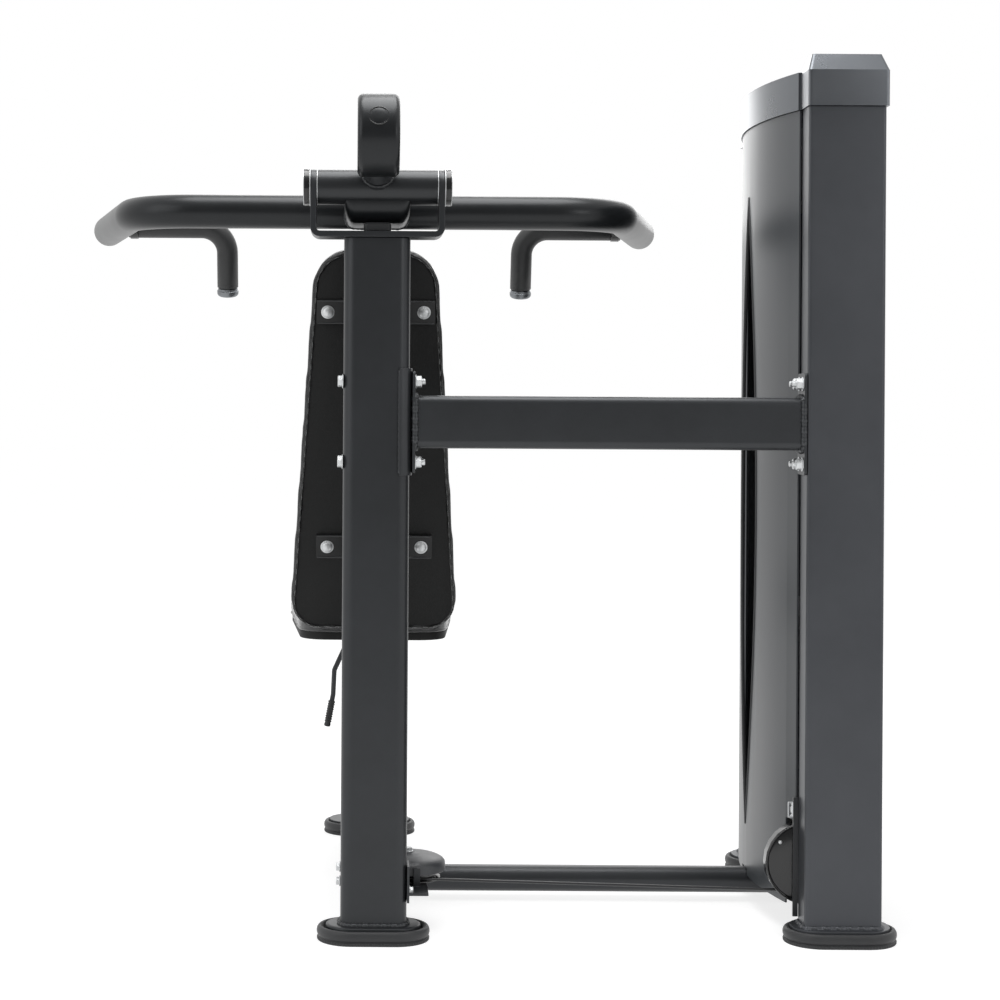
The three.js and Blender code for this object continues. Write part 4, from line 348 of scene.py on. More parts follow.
def tapered_outline(
    length: float, far: float, near: float, far_corner: float, near_corner: float, steps: int = 14
) -> list[Point]:
    """Trace a pad's outline, narrower at its far end, with round corners.

    Args:
        length: Full length, along the second axis.
        far: Width at the far end.
        near: Width at the near end.
        far_corner: Corner radius at the far end.
        near_corner: Corner radius at the near end.
        steps: Segments in each corner.

    Returns:
        The outline's points, anticlockwise.
    """
    lean = math.atan2((near - far) / 2, length)
    quarter, top = math.pi / 2, length / 2
    corners = (
        (near / 2 - near_corner, near_corner - top, near_corner, -quarter, lean),
        (far / 2 - far_corner, top - far_corner, far_corner, lean, quarter),
        (far_corner - far / 2, top - far_corner, far_corner, quarter, 2 * quarter - lean),
        (near_corner - near / 2, near_corner - top, near_corner, 2 * quarter - lean, 3 * quarter),
    )
    points: list[Point] = []
    for x, y, radius, start, end in corners:
        points += arc(x, y, radius, radius, sweep(start, end, steps))
    return points


def inset(points: Sequence[Point], amount: float) -> list[Point]:
    """Draw an anticlockwise outline in along its normals, or out when the amount is negative."""
    moved: list[Point] = []
    for i, (x, y) in enumerate(points):
        ax, ay = points[i - 1]
        bx, by = points[(i + 1) % len(points)]
        along = math.hypot(bx - ax, by - ay) or 1.0
        moved.append((x - amount * (by - ay) / along, y + amount * (bx - ax) / along))
    return moved


def evened(points: Sequence[Point], count: int) -> list[Point]:
    """Space so many points evenly round a closed outline."""
    loop = [Vector(p) for p in points] + [Vector(points[0])]
    lengths = [0.0]
    for a, b in zip(loop, loop[1:]):
        lengths.append(lengths[-1] + (b - a).length)
    result: list[Point] = []
    step = 0
    for i in range(count):
        goal = lengths[-1] * i / count
        while lengths[step + 1] < goal:
            step += 1
        share = (goal - lengths[step]) / max(lengths[step + 1] - lengths[step], 1e-9)
        spot = loop[step].lerp(loop[step + 1], share)
        result.append((spot.x, spot.y))
    return result


def bead_section(radius: float, height: float, thick: float) -> list[Point]:
    """Closed profile of a round bead, to be turned about an axis."""
    angles = [*sweep(0.0, 2 * math.pi, 10)[:-1], 0.0]
    return arc(radius, height, thick, thick, angles)


def filleted(corners: Sequence[Vector], radius: float, steps: int) -> list[Vector]:
    """Round the inner corners of a path.

    Args:
        corners: The path's corners.
        radius: Bend radius.
        steps: Segments in each bend.

    Returns:
        The path's points.
    """
    path = [corners[0]]
    for a, b, c in zip(corners, corners[1:], corners[2:]):
        back, ahead = (a - b).normalized(), (c - b).normalized()
        half = back.angle(ahead) / 2
        start = b + back * (radius / math.tan(half))
        end = b + ahead * (radius / math.tan(half))
        centre = b + (back + ahead).normalized() * (radius / math.sin(half))
        turn = math.pi - 2 * half
        for i in range(steps + 1):
            angle = turn * i / steps
            path.append(
                centre
                + (start - centre) * (math.sin(turn - angle) / math.sin(turn))
                + (end - centre) * (math.sin(angle) / math.sin(turn))
            )
    path.append(corners[-1])
    return path


# Rings and shapes


def stepped(
    outline: Sequence[Point], levels: Sequence[Point], spot: Callable[..., Vector]
) -> Shape:
    """Loft an outline through (inset, height) levels, with each point placed by spot."""
    return lofted([[spot(x, y, rise) for x, y in inset(outline, drawn)] for drawn, rise in levels])


def upright(x: float, y: float, z: float) -> Vector:
    """Point on the machine's own axes."""
    return Vector((x, y, z))


def flat_ring(points: Sequence[Point], z: float, x: float = 0, y: float = 0) -> list[Vector]:
    """Lay an outline flat at a height, with its middle at x and y."""
    return [Vector((x + px, y + py, z)) for px, py in points]


def ring(centre: Vector, side: Vector, across: Vector, radius: float, count: int) -> list[Vector]:
    """Points round a circle that lies along two directions."""
    angles = (2 * math.pi * k / count for k in range(count))
    return [centre + (side * math.cos(a) + across * math.sin(a)) * radius for a in angles]


def circle(centre: Vector, axis: Vector, radius: float, count: int = 60) -> list[Vector]:
    """Points round a circle about an axis."""
    along = axis.normalized()
    side = along.orthogonal().normalized()
    return ring(centre, side, along.cross(side), radius, count)


def lofted(rings: Sequence[Sequence[Vector]], closed: bool = False) -> Shape:
    """Skin a row of rings that have the same number of points.

    Args:
        rings: The rings in order. A ring of one point closes an end to a tip.
        closed: Whether the last ring joins the first.

    Returns:
        Vertices and faces, with flat ends where the row is open.
    """
    verts: list[Vector] = []
    starts: list[int] = []
    for points in rings:
        starts.append(len(verts))
        verts.extend(points)
    faces: list[list[int]] = []
    pairs = list(zip(range(len(rings)), range(1, len(rings))))
    if closed:
        pairs.append((len(rings) - 1, 0))
    for a, b in pairs:
        count = max(len(rings[a]), len(rings[b]))
        for i in range(count):
            j = (i + 1) % count
            corners = ((a, i), (a, j), (b, j), (b, i))
            face = [starts[row] + number % len(rings[row]) for row, number in corners]
            faces.append(list(dict.fromkeys(face)))
    if not closed:
        if len(rings[0]) > 1:
            faces.append([starts[0] + i for i in reversed(range(len(rings[0])))])
        if len(rings[-1]) > 1:
            faces.append([starts[-1] + i for i in range(len(rings[-1]))])
    return verts, faces


def tube(path: Sequence[Vector], radii: float | Sequence[float], sides: int = 32) -> Shape:
    """Sweep a circle along a path.

    Args:
        path: The centre line.
        radii: One radius, or one for each point.
        sides: Points round the circle.

    Returns:
        Vertices and faces.
    """
    sizes = [radii] * len(path) if isinstance(radii, (int, float)) else radii
    last = len(path) - 1
    rings: list[list[Vector]] = []
    side = None
    for i, spot in enumerate(path):
        along = (path[min(i + 1, last)] - path[max(i - 1, 0)]).normalized()
        side = side - along * side.dot(along) if side else along.orthogonal()
        side.normalize()
        rings.append(ring(spot, side, along.cross(side), sizes[i], sides))
    return lofted(rings)


def cord(
    loop: Sequence[Vector], radius: Callable[[int], float], facing: Vector | None = None,
    sides: int = 10, flat: float = 1.0,
) -> Shape:
    """Sweep a circle round a closed loop.

    Args:
        loop: The centre line.
        radius: Radius at each point, from its number.
        facing: Direction of each circle's first point, or None to keep it up where it can be.
        sides: Points round the circle.
        flat: Width of the section as a share of its height.

    Returns:
        Vertices and faces.
    """
    rings = []
    for i, spot in enumerate(loop):
        along = (loop[(i + 1) % len(loop)] - loop[i - 1]).normalized()
        side = facing
        if side is None:
            side = UP if abs(along.z) < 0.9 else RIGHT
            side = (side - along * side.dot(along)).normalized()
        across = along.cross(side).normalized()
        rings.append(ring(spot, side, across * flat, radius(i), sides))
    return lofted(rings, closed=True)


def turned(profile: Sequence[Point], axis: Vector, centre: Vector, sides: int = 64) -> Shape:
    """Turn (radius, height) pairs about an axis. A closed profile repeats its first pair."""
    along = axis.normalized()
    closed = profile[0] == profile[-1]
    rings = []
    for radius, height in (profile[:-1] if closed else profile):
        spot = centre + along * height
        rings.append(circle(spot, axis, radius, sides) if radius else [spot])
    return lofted(rings, closed)


class Lay(Enum):
    """How a flat outline lies: its first axis, its second axis and the way it is extruded."""

    FLAT = (RIGHT, -REAR, UP)
    SIDE_ON = (-REAR, UP, RIGHT)
    END_ON = (LEFT, UP, -REAR)


def prism(
    points: Sequence[Point], low: float, high: float, lay: Lay, shift: Vector = Vector()
) -> Shape:
    """Extrude an anticlockwise outline from low to high, and shift the whole."""
    first, second, out = lay.value
    return lofted([
        [shift + first * x + second * y + out * h for x, y in points] for h in (low, high)
    ])


def joined(*shapes: Shape) -> Shape:
    """Put several shapes in one."""
    verts: list[Vector] = []
    faces: list[list[int]] = []
    for more, polygons in shapes:
        base = len(verts)
        verts.extend(more)
        faces.extend([base + i for i in polygon] for polygon in polygons)
    return verts, faces


# Pieces


def new_object(name: str, data: bpy.types.ID | None) -> Piece:
    """Put an object in the scene."""
    made = bpy.data.objects.new(name, data)
    bpy.context.scene.collection.objects.link(made)
    return made


def make_object(name: str, shape: Shape, sharp: float = SHARP) -> Piece:
    """Make a mesh object, smooth except at edges that turn by more degrees than sharp."""
    mesh = bpy.data.meshes.new(name)
    mesh.from_pydata([v * MM for v in shape[0]], [], shape[1])
    work = bmesh.new()
    work.from_mesh(mesh)
    bmesh.ops.recalc_face_normals(work, faces=work.faces)
    for face in work.faces:
        face.smooth = True
    for edge in work.edges:
        edge.smooth = edge.calc_face_angle(0.0) < math.radians(sharp)
    work.to_mesh(mesh)
    work.free()
    return new_object(name, mesh)


def shade_smooth(piece: Piece) -> None:
    """Shade every face of a piece smooth."""
    for polygon in piece.data.polygons:
        polygon.use_smooth = True


def eased(piece: Piece, width: float) -> None:
    """Round a piece's sharp edges by so many millimetres, as paint and moulds do."""
    bevel = piece.modifiers.new("eased_edges", "BEVEL")
    bevel.width = width * MM
    bevel.segments = 2
    bevel.limit_method = "ANGLE"
    bevel.angle_limit = math.radians(SHARP)
    bevel.harden_normals = True


def applied(piece: Piece) -> None:
    """Fix a piece's modifiers into its mesh."""
    graph = bpy.context.evaluated_depsgraph_get()
    graph.update()
    mesh = bpy.data.meshes.new_from_object(piece.evaluated_get(graph))
    piece.modifiers.clear()
    piece.data = mesh


def cut_out(piece: Piece, shape: Shape) -> None:
    """Cut a shape out of a piece."""
    cutter = make_object("cutter", shape)
    hole = piece.modifiers.new("hole", "BOOLEAN")
    hole.object = cutter
    hole.operation = "DIFFERENCE"
    hole.solver = "EXACT"
    applied(piece)
    bpy.data.objects.remove(cutter)


def dress(piece: Piece, finish: Finish, body: str = "frame", names: Sequence[str] = ()) -> Piece:
    """Give a new piece its finish and its body, and hide the solids it stands for."""
    piece.data.materials.clear()
    piece.data.materials.append(finish.material())
    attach(piece, body)
    if names:
        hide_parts(*names)
    LOG.info("%s: %s on %s", piece.name, finish.name, body)
    return piece


def add_piece(
    name: str, shape: Shape, finish: Finish, body: str = "frame", names: Sequence[str] = (),
    sharp: float = SHARP, edge: float = 0.0,
) -> None:
    """Make a piece and dress it.

    Args:
        name: The piece's name.
        shape: Vertices in millimetres, and faces.
        finish: What it is made of.
        body: The body that carries it.
        names: The solids that it stands for.
        sharp: Edges that turn by more degrees than this stay sharp.
        edge: Width of its edge rounding in millimetres, or 0 for none.
    """
    piece = make_object(name, shape, sharp)
    if edge:
        eased(piece, edge)
    dress(piece, finish, body, names)


def dress_solids(finish: Finish, edge: float, *names: str) -> None:
    """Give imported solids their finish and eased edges.

    Args:
        finish: What they are made of.
        edge: Width of their edge rounding in millimetres, or 0 for none.
        *names: The solids' names.
    """
    for name in names:
        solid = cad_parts[name]
        for slot in solid.material_slots:
            slot.material = finish.material()
        if not solid.material_slots:
            solid.data.materials.append(finish.material())
        shade_smooth(solid)
        weld = solid.modifiers.new("weld", "WELD")
        weld.merge_threshold = 0.01 * MM
        if edge:
            eased(solid, edge)
        weighted = solid.modifiers.new("even_shading", "WEIGHTED_NORMAL")
        weighted.keep_sharp = True
        LOG.info("%s: %s", name, finish.name)


def weld_bead(
    name: str, loop: Sequence[Vector], radius: float, finish: Finish, body: str = "frame"
) -> None:
    """Lay a rippled and painted weld bead, of about this radius, along a closed loop."""
    def rippled(i: int) -> float:
        """Radius at one point of the bead."""
        return radius * (1 + 0.14 * math.sin(i * 2.1) + 0.12 * math.sin(i * 0.77))

    add_piece(name, cord(loop, rippled, sides=8), finish, body, sharp=ALL_SMOOTH)


class Head(Enum):
    """The kinds of bolt head."""

    HEX = "hex"
    DOME = "dome"
    NUT = "nut"


def fastener(name: str, head: Head, radius: float, place: Vector, axis: Vector) -> None:
    """Fit a zinc-plated bolt head or nut on its washer.

    Args:
        name: The piece's name.
        head: Kind of head.
        radius: Half the distance over the corners.
        place: Point on the face that the washer sits on.
        axis: The way the head points.
    """
    washer, inner, outer = 2, radius * 1.12, radius * 1.2
    profile = ((0, 0), (inner, 0), (outer, 0.4), (outer, 1.6), (inner, washer), (0, washer))
    shapes = [turned(profile, axis, place, 36)]
    base = place + axis.normalized() * washer
    if head is Head.DOME:
        rise = radius * 0.55
        crown = arc(0, 0, radius, rise, (0.15, 0.45, 0.75, 1.05, 1.3))
        shapes.append(turned([(0, 0), (radius, 0), *crown, (0, rise)], axis, base, 36))
    else:
        top = radius * (0.75 if head is Head.HEX else 0.95)
        hexagon = ((0, 0), (radius, 0), (radius, top * 0.86), (radius * 0.88, top), (0, top))
        shapes.append(turned(hexagon, axis, base, 6))
    if head is Head.NUT:
        thick, end = radius * 0.5, top + 6
        stud = ((0, 0), (thick, 0), (thick, end - 1), (radius * 0.42, end), (0, end))
        shapes.append(turned(stud, axis, base, 24))
    add_piece(name, joined(*shapes), ZINC, edge=0.3)


# Sub-assemblies


@dataclass
class Foot:
    """A rubber foot with a ribbed skirt, a rolled rim and the pocket that its sole sits in."""

    name: str
    x: float
    y: float
    length: float = 193.0
    depth: float = 120.0
    height: float = 24.0
    rim: float = 12.0
    swell: float = 9.0
    pocket: float = 9.0
    rib: float = 1.1
    ribbed: float = 5.0
    teeth: int = 96

    def build(self) -> None:
        """Build the foot in place of its solid."""
        outline = evened(capsule(self.length, self.depth, 24), self.teeth * 4)
        lip = self.rim / 2
        turn = sweep(-5 * math.pi / 14, math.pi, 19)
        roll = arc(lip, self.height - self.swell, -lip, self.swell, turn)
        levels = (
            (1.4, 0.0), (0.6, 1.0), (0.4, 4.4), (2.4, 5.6), *roll,
            (self.rim, self.height - self.pocket),
        )
        rings = []
        for drawn, z in levels:
            deep = self.rib * (0 < z < self.ribbed)
            points = []
            for i, (x, y) in enumerate(inset(outline, drawn)):
                rib = deep * (i % 4 in (0, 1)) / math.hypot(x, y)
                points.append((x - rib * x, y - rib * y))
            rings.append(flat_ring(points, z, self.x, self.y))
        add_piece(f"{self.name}_rubber", lofted(rings), FOOT_RUBBER, names=[self.name])


@dataclass
class SeatFrame:
    """Feet, rear post, base beam, cross tubes, yoke and their bolts."""

    post_width: float = 113.0
    post_depth: float = 60.0
    post_corner: float = 20.0
    post_top: float = 1196.0
    post_wall: float = 4.0
    sole_length: float = 163.0
    sole_depth: float = 90.0
    sole_low: float = 15.3
    sole_top: float = 27.3
    saddle: float = 4.5
    saddle_height: float = 182.0
    saddle_reach: float = 22.0
    cross_z: float = 883.0
    cross_left: float = 61.3
    cross_right: float = 730.7
    flange: float = 4.5
    bolt_spread: float = 137.0
    bolt_row: float = 28.0
    bolt_radius: float = 10.0

    def build(self) -> None:
        """Build every piece of the seat frame and all four feet."""
        for name, x, y in (
            ("rear_foot", 0, 0), ("front_foot", 0, 895),
            ("tower_rear_foot", 797, 0), ("tower_front_foot", 797, 565),
        ):
            Foot(name, x, y).build()
        self._post()
        self._cross_tube()
        self._bolts()
        dress_solids(
            POWDER_COAT, 0.8, "base_beam", "lower_cross_tube", "front_pulley_bracket",
            "side_pulley_bracket",
        )
        dress_solids(BLACK_ENAMEL, 1.2, "upper_pad_bracket", "lower_pad_bracket")
        dress_solids(POWDER_COAT, 1.5, "yoke")
        dress_solids(FOOT_RUBBER, 1.5, "arm_bumper")
        dress_solids(ZINC, 0.8, "pivot_shaft")

    def _post(self) -> None:
        """Build the rear post with its sole plate, weld bead and saddle plate."""
        outline = rounded_outline(self.post_width, self.post_depth, self.post_corner, 14)
        wall, top = self.post_wall, self.post_top
        levels = (
            (0.0, self.sole_top - 1), (0.0, top - 0.8), (0.8, top), (wall - 0.8, top),
            (wall, top - 30),
        )
        post = stepped(outline, levels, upright)
        rim = evened(capsule(self.sole_length, self.sole_depth), 160)
        levels = (
            (0.6, self.sole_low), (0.0, self.sole_low + 0.8), (0.0, self.sole_top - 4.0),
            (0.9, self.sole_top - 1.5), (3.0, self.sole_top - 0.3), (5.0, self.sole_top),
        )
        sole = stepped(rim, levels, upright)
        add_piece("rear_post_tube", joined(post, sole), POWDER_COAT, names=["rear_post"], edge=1.0)
        seam = flat_ring(evened(outline, 150), self.sole_top + 0.5)
        weld_bead("rear_post_weld", seam, 5.0, POWDER_COAT)
        low, high = (self.cross_z + side * self.saddle_height / 2 for side in (-1, 1))
        cut = self.post_width / 2 + self.saddle - self.saddle_reach
        outer = rounded_outline(
            self.post_width + 2 * self.saddle, self.post_depth + 2 * self.saddle,
            self.post_corner + self.saddle, 10,
        )
        section = [*self._right_of(cut, outer), *self._right_of(cut, inset(outline, -0.05))[::-1]]
        saddle = prism(section, low, high, Lay.FLAT)
        add_piece("rear_post_saddle", saddle, POWDER_COAT, edge=0.8)
        count, gap = 40, 4
        heights = sweep(low + gap, high - gap, count - 1)
        fringe = [Vector((cut, -self.post_depth / 2 - 1.5, z)) for z in heights]
        bead = tube(fringe, [2.6 * (1 + 0.15 * math.sin(i * 2.3)) for i in range(count)], 10)
        add_piece("saddle_weld", bead, POWDER_COAT, sharp=ALL_SMOOTH)

    @staticmethod
    def _right_of(cut: float, outline: Sequence[Point]) -> list[Point]:
        """Keep the part of an outline to the right of a line, from rear to front."""
        kept = sorted(
            (p for p in outline if p[0] > cut), key=lambda p: math.atan2(p[1], p[0] - cut + 1)
        )
        return [(cut, kept[0][1]), *kept, (cut, kept[-1][1])]

    def _cross_tube(self) -> None:
        """Build the upper cross tube with its end flanges and weld beads."""
        left, right, middle = self.cross_left, self.cross_right, UP * self.cross_z
        section, plate = rounded_outline(50, 90, 14, 10), rounded_outline(58, 173, 7, 6)
        inner_left, inner_right = left + self.flange, right - self.flange
        shape = joined(
            prism(section, left + 1, right - 1, Lay.SIDE_ON, middle),
            prism(plate, left, inner_left, Lay.SIDE_ON, middle),
            prism(plate, inner_right, right, Lay.SIDE_ON, middle),
        )
        add_piece("cross_tube_upper", shape, POWDER_COAT, names=["upper_cross_tube"], edge=0.8)
        for name, x in (("left", inner_left), ("right", inner_right)):
            seam = [Vector((x, y, self.cross_z + z)) for y, z in evened(section, 120)]
            weld_bead(f"cross_tube_{name}_weld", seam, 5.6, POWDER_COAT)

    def _bolts(self) -> None:
        """Place the bolts of the cross tube, the base and the side bracket."""
        side = self.post_width / 2
        kinds = (
            ("post_bolt", Head.HEX, -side, LEFT),
            ("post_nut", Head.NUT, self.cross_left + self.flange, RIGHT),
            ("tower_nut", Head.NUT, self.cross_right - self.flange, LEFT),
        )
        for level, rise in (("upper", self.bolt_spread / 2), ("lower", -self.bolt_spread / 2)):
            for row, y in (("rear", -self.bolt_row / 2), ("front", self.bolt_row / 2)):
                for kind, head, x, axis in kinds:
                    spot = Vector((x, y, self.cross_z + rise))
                    fastener(f"{kind}_{level}_{row}", head, self.bolt_radius, spot, axis)
        for level, z in (("upper", 122.0), ("lower", 98.0)):
            fastener(f"base_bolt_{level}", Head.HEX, 7.5, Vector((-side, 0, z)), LEFT)
        fastener("bracket_bolt", Head.HEX, 6.5, Vector((side + 4.3, -16, 86)), RIGHT)


@dataclass
class PressArm:
    """The welded lever arm: pivot tube, neck, bent bar, handles and their grips."""

    body: str = "press_arm"
    pivot: Vector = field(default_factory=lambda: Vector((0, 0, 1283)))
    pivot_half: float = 103.5
    pivot_radius: float = 30.0
    pivot_bore: float = 23.0
    stub_radius: float = 25.0
    stub_end: float = 66.0
    slot_left: float = 5.7
    slot_right: float = 17.3
    slot_end: float = 119.0
    bar_z: float = 1253.0
    bar_y: float = 150.0
    corner_x: float = 425.0
    end_x: float = 530.0
    end_y: float = 620.0
    bend: float = 130.0
    bar_radius: float = 30.0
    neck_width: float = 112.0
    neck_corner: float = 18.0
    neck_heel: float = 36.0
    handle_y: float = 520.0
    handle_x: float = 288.0
    handle_drop: float = 122.0
    handle_lean: float = 34.0
    handle_radius: float = 17.0
    handle_bend: float = 50.0
    grip_radius: float = 20.5
    stub_angle: float = math.radians(142.4)
    plug_angle: float = math.radians(158.5)
    counter_offset: float = 126.0
    counter_radius: float = 69.0
    counter_width: float = 70.0
    counter_edge: float = 10.0

    def build(self) -> None:
        """Build the arm, the grips, the counterweight and the pivot's caps."""
        self._weldment()
        for name, side in SIDES:
            self._grip(name, side)
            dress_solids(BRONZE, 0.4, f"{name}_pivot_bush")
        self._counterweight()
        for name, side in SIDES:
            self._pivot_cap(name, side)
        dress_solids(POWDER_COAT, 0.6, "cable_cam")
        dress_solids(NYLON_JACKET, 0.3, "cable_end")

    def handle_corners(self, side: int) -> list[Vector]:
        """Three corners of a handle's centre line, on the left for side -1, right for 1."""
        slope = (self.end_x - self.corner_x) / (self.end_y - self.bar_y)
        joint = self.corner_x + (self.handle_y - self.bar_y) * slope
        end_y, end_z = self.handle_y + self.handle_lean, self.bar_z - self.handle_drop
        return [
            Vector((side * joint, self.handle_y, self.bar_z)),
            Vector((side * self.handle_x, self.handle_y, self.bar_z)),
            Vector((side * self.handle_x, end_y, end_z)),
        ]

    @staticmethod
    def _toward(angle: float) -> Vector:
        """Direction square to the pivot, by its angle up from straight ahead."""
        return Vector((0, math.cos(angle), math.sin(angle)))

    def _bar(self) -> Shape:
        """Sweep the bent bar with its domed plugs."""
        legs = (self.end_x, self.end_y), (self.corner_x, self.bar_y)
        corners = [Vector((-x, y, self.bar_z)) for x, y in legs]
        corners += [Vector((x, y, self.bar_z)) for x, y in reversed(legs)]
        path = filleted(corners, self.bend, 26)
        shares = [math.sin(math.pi / 2 * i / 9) for i in range(1, 10)]
        radius, dome = self.bar_radius, self.bar_radius * 0.5
        start, end = (path[0] - path[1]).normalized(), (path[-1] - path[-2]).normalized()
        first = [path[0] + start * dome * s for s in reversed(shares)]
        last = [path[-1] + end * dome * s for s in shares]
        sizes = [max(radius * math.sqrt(max(1 - s * s, 0.0)), 0.3) for s in shares]
        return tube([*first, *path, *last], [*sizes[::-1], *[radius] * len(path), *sizes], 48)

    def _neck(self) -> Shape:
        """Loft the flat-oval neck with its rounded heel."""
        heel, half = self.neck_heel, self.bar_radius
        low, high = self.bar_z - half, self.bar_z + half
        start, rings = -heel / 2, []
        turn = [start + heel * (1 - math.cos(math.pi / 2 * i / 8)) for i in range(9)]
        for y in (*turn, self.bar_y):
            bottom = low + heel - math.sqrt(max(heel * heel - max(heel / 2 - y, 0) ** 2, 0))
            height = high - bottom
            corner = min(self.neck_corner, height / 2 - 1)
            section = rounded_outline(self.neck_width, height, corner)
            rings.append([Vector((-x, y, (bottom + high) / 2 + z)) for x, z in section])
        return lofted(rings)

    def _weldment(self) -> None:
        """Build the painted weldment, with the cam's slot in its neck, and its beads."""
        half, radius, bore = self.pivot_half, self.pivot_radius, self.pivot_bore
        profile = (
            (bore, -half), (radius - 1, -half), (radius, 1 - half), (radius, half - 1),
            (radius - 1, half), (bore, half), (bore, -half),
        )
        pivot_tube = turned(profile, RIGHT, self.pivot)
        reach = self._toward(self.stub_angle)
        thick, end = self.stub_radius, self.stub_end
        stub = turned(((0, 20), (thick, 20), (thick, end), (0, end)), reach, self.pivot, 48)
        neck = make_object("arm_neck", self._neck())
        start, end, tall = radius + 0.3, self.slot_end, 90
        slot = [(start, -tall), (end, -tall), (end, tall), (start, tall)]
        shape = prism(slot, self.slot_left, self.slot_right, Lay.SIDE_ON, UP * self.bar_z)
        cut_out(neck, shape)
        eased(neck, 0.8)
        dress(neck, ARM_COAT, self.body)
        handles = [
            tube(filleted(self.handle_corners(side), self.handle_bend, 18), self.handle_radius)
            for _, side in SIDES
        ]
        shape = joined(self._bar(), pivot_tube, stub, *handles)
        add_piece("arm_weldment", shape, ARM_COAT, self.body, ["press_arm"])
        seam = circle(self.pivot + reach * (radius - 0.5), reach, self.stub_radius + 0.5)
        weld_bead("stub_weld", seam, 3.2, ARM_COAT, self.body)
        for name, side in SIDES:
            joint, bend, _ = self.handle_corners(side)
            inward = (bend - joint).normalized()
            spot = joint + inward * (self.bar_radius + 0.5)
            seam = circle(spot, inward, self.handle_radius + 0.6)
            weld_bead(f"{name}_handle_weld", seam, 2.8, ARM_COAT, self.body)
        outline = rounded_outline(self.neck_width, 2 * self.bar_radius, self.neck_corner, 10)
        seam = [
            Vector((x, self.bar_y - 28.5 + 14 * max(abs(z) - 17, 0) / 13, self.bar_z + z))
            for x, z in inset(evened(outline, 120), 0.3)
        ]
        weld_bead("bar_weld", seam, 2.6, ARM_COAT, self.body)

    def _grip(self, name: str, side: int) -> None:
        """Build one side's grip with its collar and its aluminium end cap."""
        joint, bend, end = self.handle_corners(side)
        inward, down = (bend - joint).normalized(), (end - bend).normalized()
        radius = self.grip_radius
        path = filleted([joint + inward * 48, bend, end - down * 9], self.handle_bend, 22)
        path = [path[0] - inward * 1.5, *path, path[-1] + down]
        radii = [radius - 1.2, *[radius] * (len(path) - 2), radius - 1.4]
        sleeve = tube(path, radii, 48)
        add_piece(f"{name}_grip_sleeve", sleeve, GRIP_RUBBER, self.body, [f"{name}_grip"], 60)
        profile = ((0, 0), (21.6, 0), (22.6, 1), (22.6, 15), (21.6, 16), (0, 16))
        collar = turned(profile, inward, joint + inward * 31, 48)
        add_piece(f"{name}_grip_collar", collar, GLOSS_ABS, self.body)
        dome = arc(14, 2.5, 7, 7.5, sweep(0, math.pi / 2, 7))
        profile = ((0, -6), (19, -6), (19.6, -2.6), (21, -1.6), *dome, (0, 10))
        cap = turned(profile, down, end, 48)
        add_piece(f"{name}_grip_cap", cap, ALUMINIUM, self.body, sharp=28)

    def _counterweight(self) -> None:
        """Build the counterweight disc with the groove round each face, and its rim plug."""
        centre = self.pivot + self._toward(self.stub_angle) * self.counter_offset
        half, radius, edge = self.counter_width / 2, self.counter_radius, self.counter_edge
        rim = arc(radius - edge, half - edge, edge, edge, sweep(math.pi / 2, 0, 8))
        groove = radius - edge - 14
        face = [(0.0, half - 1.2), (groove, half - 1.2), (groove + 3, half), *rim]
        disc = turned([*face, *[(r, -h) for r, h in face[::-1]]], RIGHT, centre, 96)
        add_piece("counterweight_disc", disc, ARM_COAT, self.body, ["counterweight"])
        facing = self._toward(self.plug_angle)
        seat = centre + facing * (radius - 1.9)
        dome = arc(0, 0.9, 14.2, 2.2, (0.3, 0.6, 0.9, 1.2))
        profile = [(0, -6), (15.5, -6), (15.5, 0.2), (14.6, 1.2), *dome, (0, 3.1)]
        plug = turned(profile, facing, seat, 40)
        add_piece("counterweight_plug", plug, ARM_COAT, self.body)
        ring_shape = turned(bead_section(16.3, 0.5, 1.3), facing, seat, 48)
        add_piece("counterweight_plug_ring", ring_shape, GLOSS_ABS, self.body, sharp=ALL_SMOOTH)

    def _pivot_cap(self, name: str, side: int) -> None:
        """Build one side's round cap over the pivot, and the bright washers by the yoke."""
        axis = Vector((side, 0, 0))
        profile = (
            (0, 0.2), (31, 0.2), (31.5, 0.8), (31.5, 3.4), (30.4, 3.6), (30.4, 4.6), (31.5, 4.8),
            (31.5, 10.4), (30.2, 11.8), (27.5, 12), (26.5, 11.2), (0, 11.2),
        )
        cap = turned(profile, axis, self.pivot + axis * 114.4)
        add_piece(f"{name}_shaft_cap", cap, GLOSS_ABS, names=[f"{name}_pivot_cap"])
        washer, outer, rim = (
            turned(
                (
                    (low, -0.7), (low, 0.5), (high - 0.3, 0.7), (high, 0.4), (high, -0.4),
                    (high - 0.3, -0.7),
                ),
                axis, self.pivot + axis * x, 72,
            )
            for low, high, x in ((29.4, 30.7, 103.0), (30.6, 32.3, 115.2), (28.6, 30.6, 125.9))
        )
        add_piece(f"{name}_pivot_washer", washer, ZINC, self.body, sharp=40)
        add_piece(f"{name}_cap_rings", joined(outer, rim), ZINC, sharp=40)


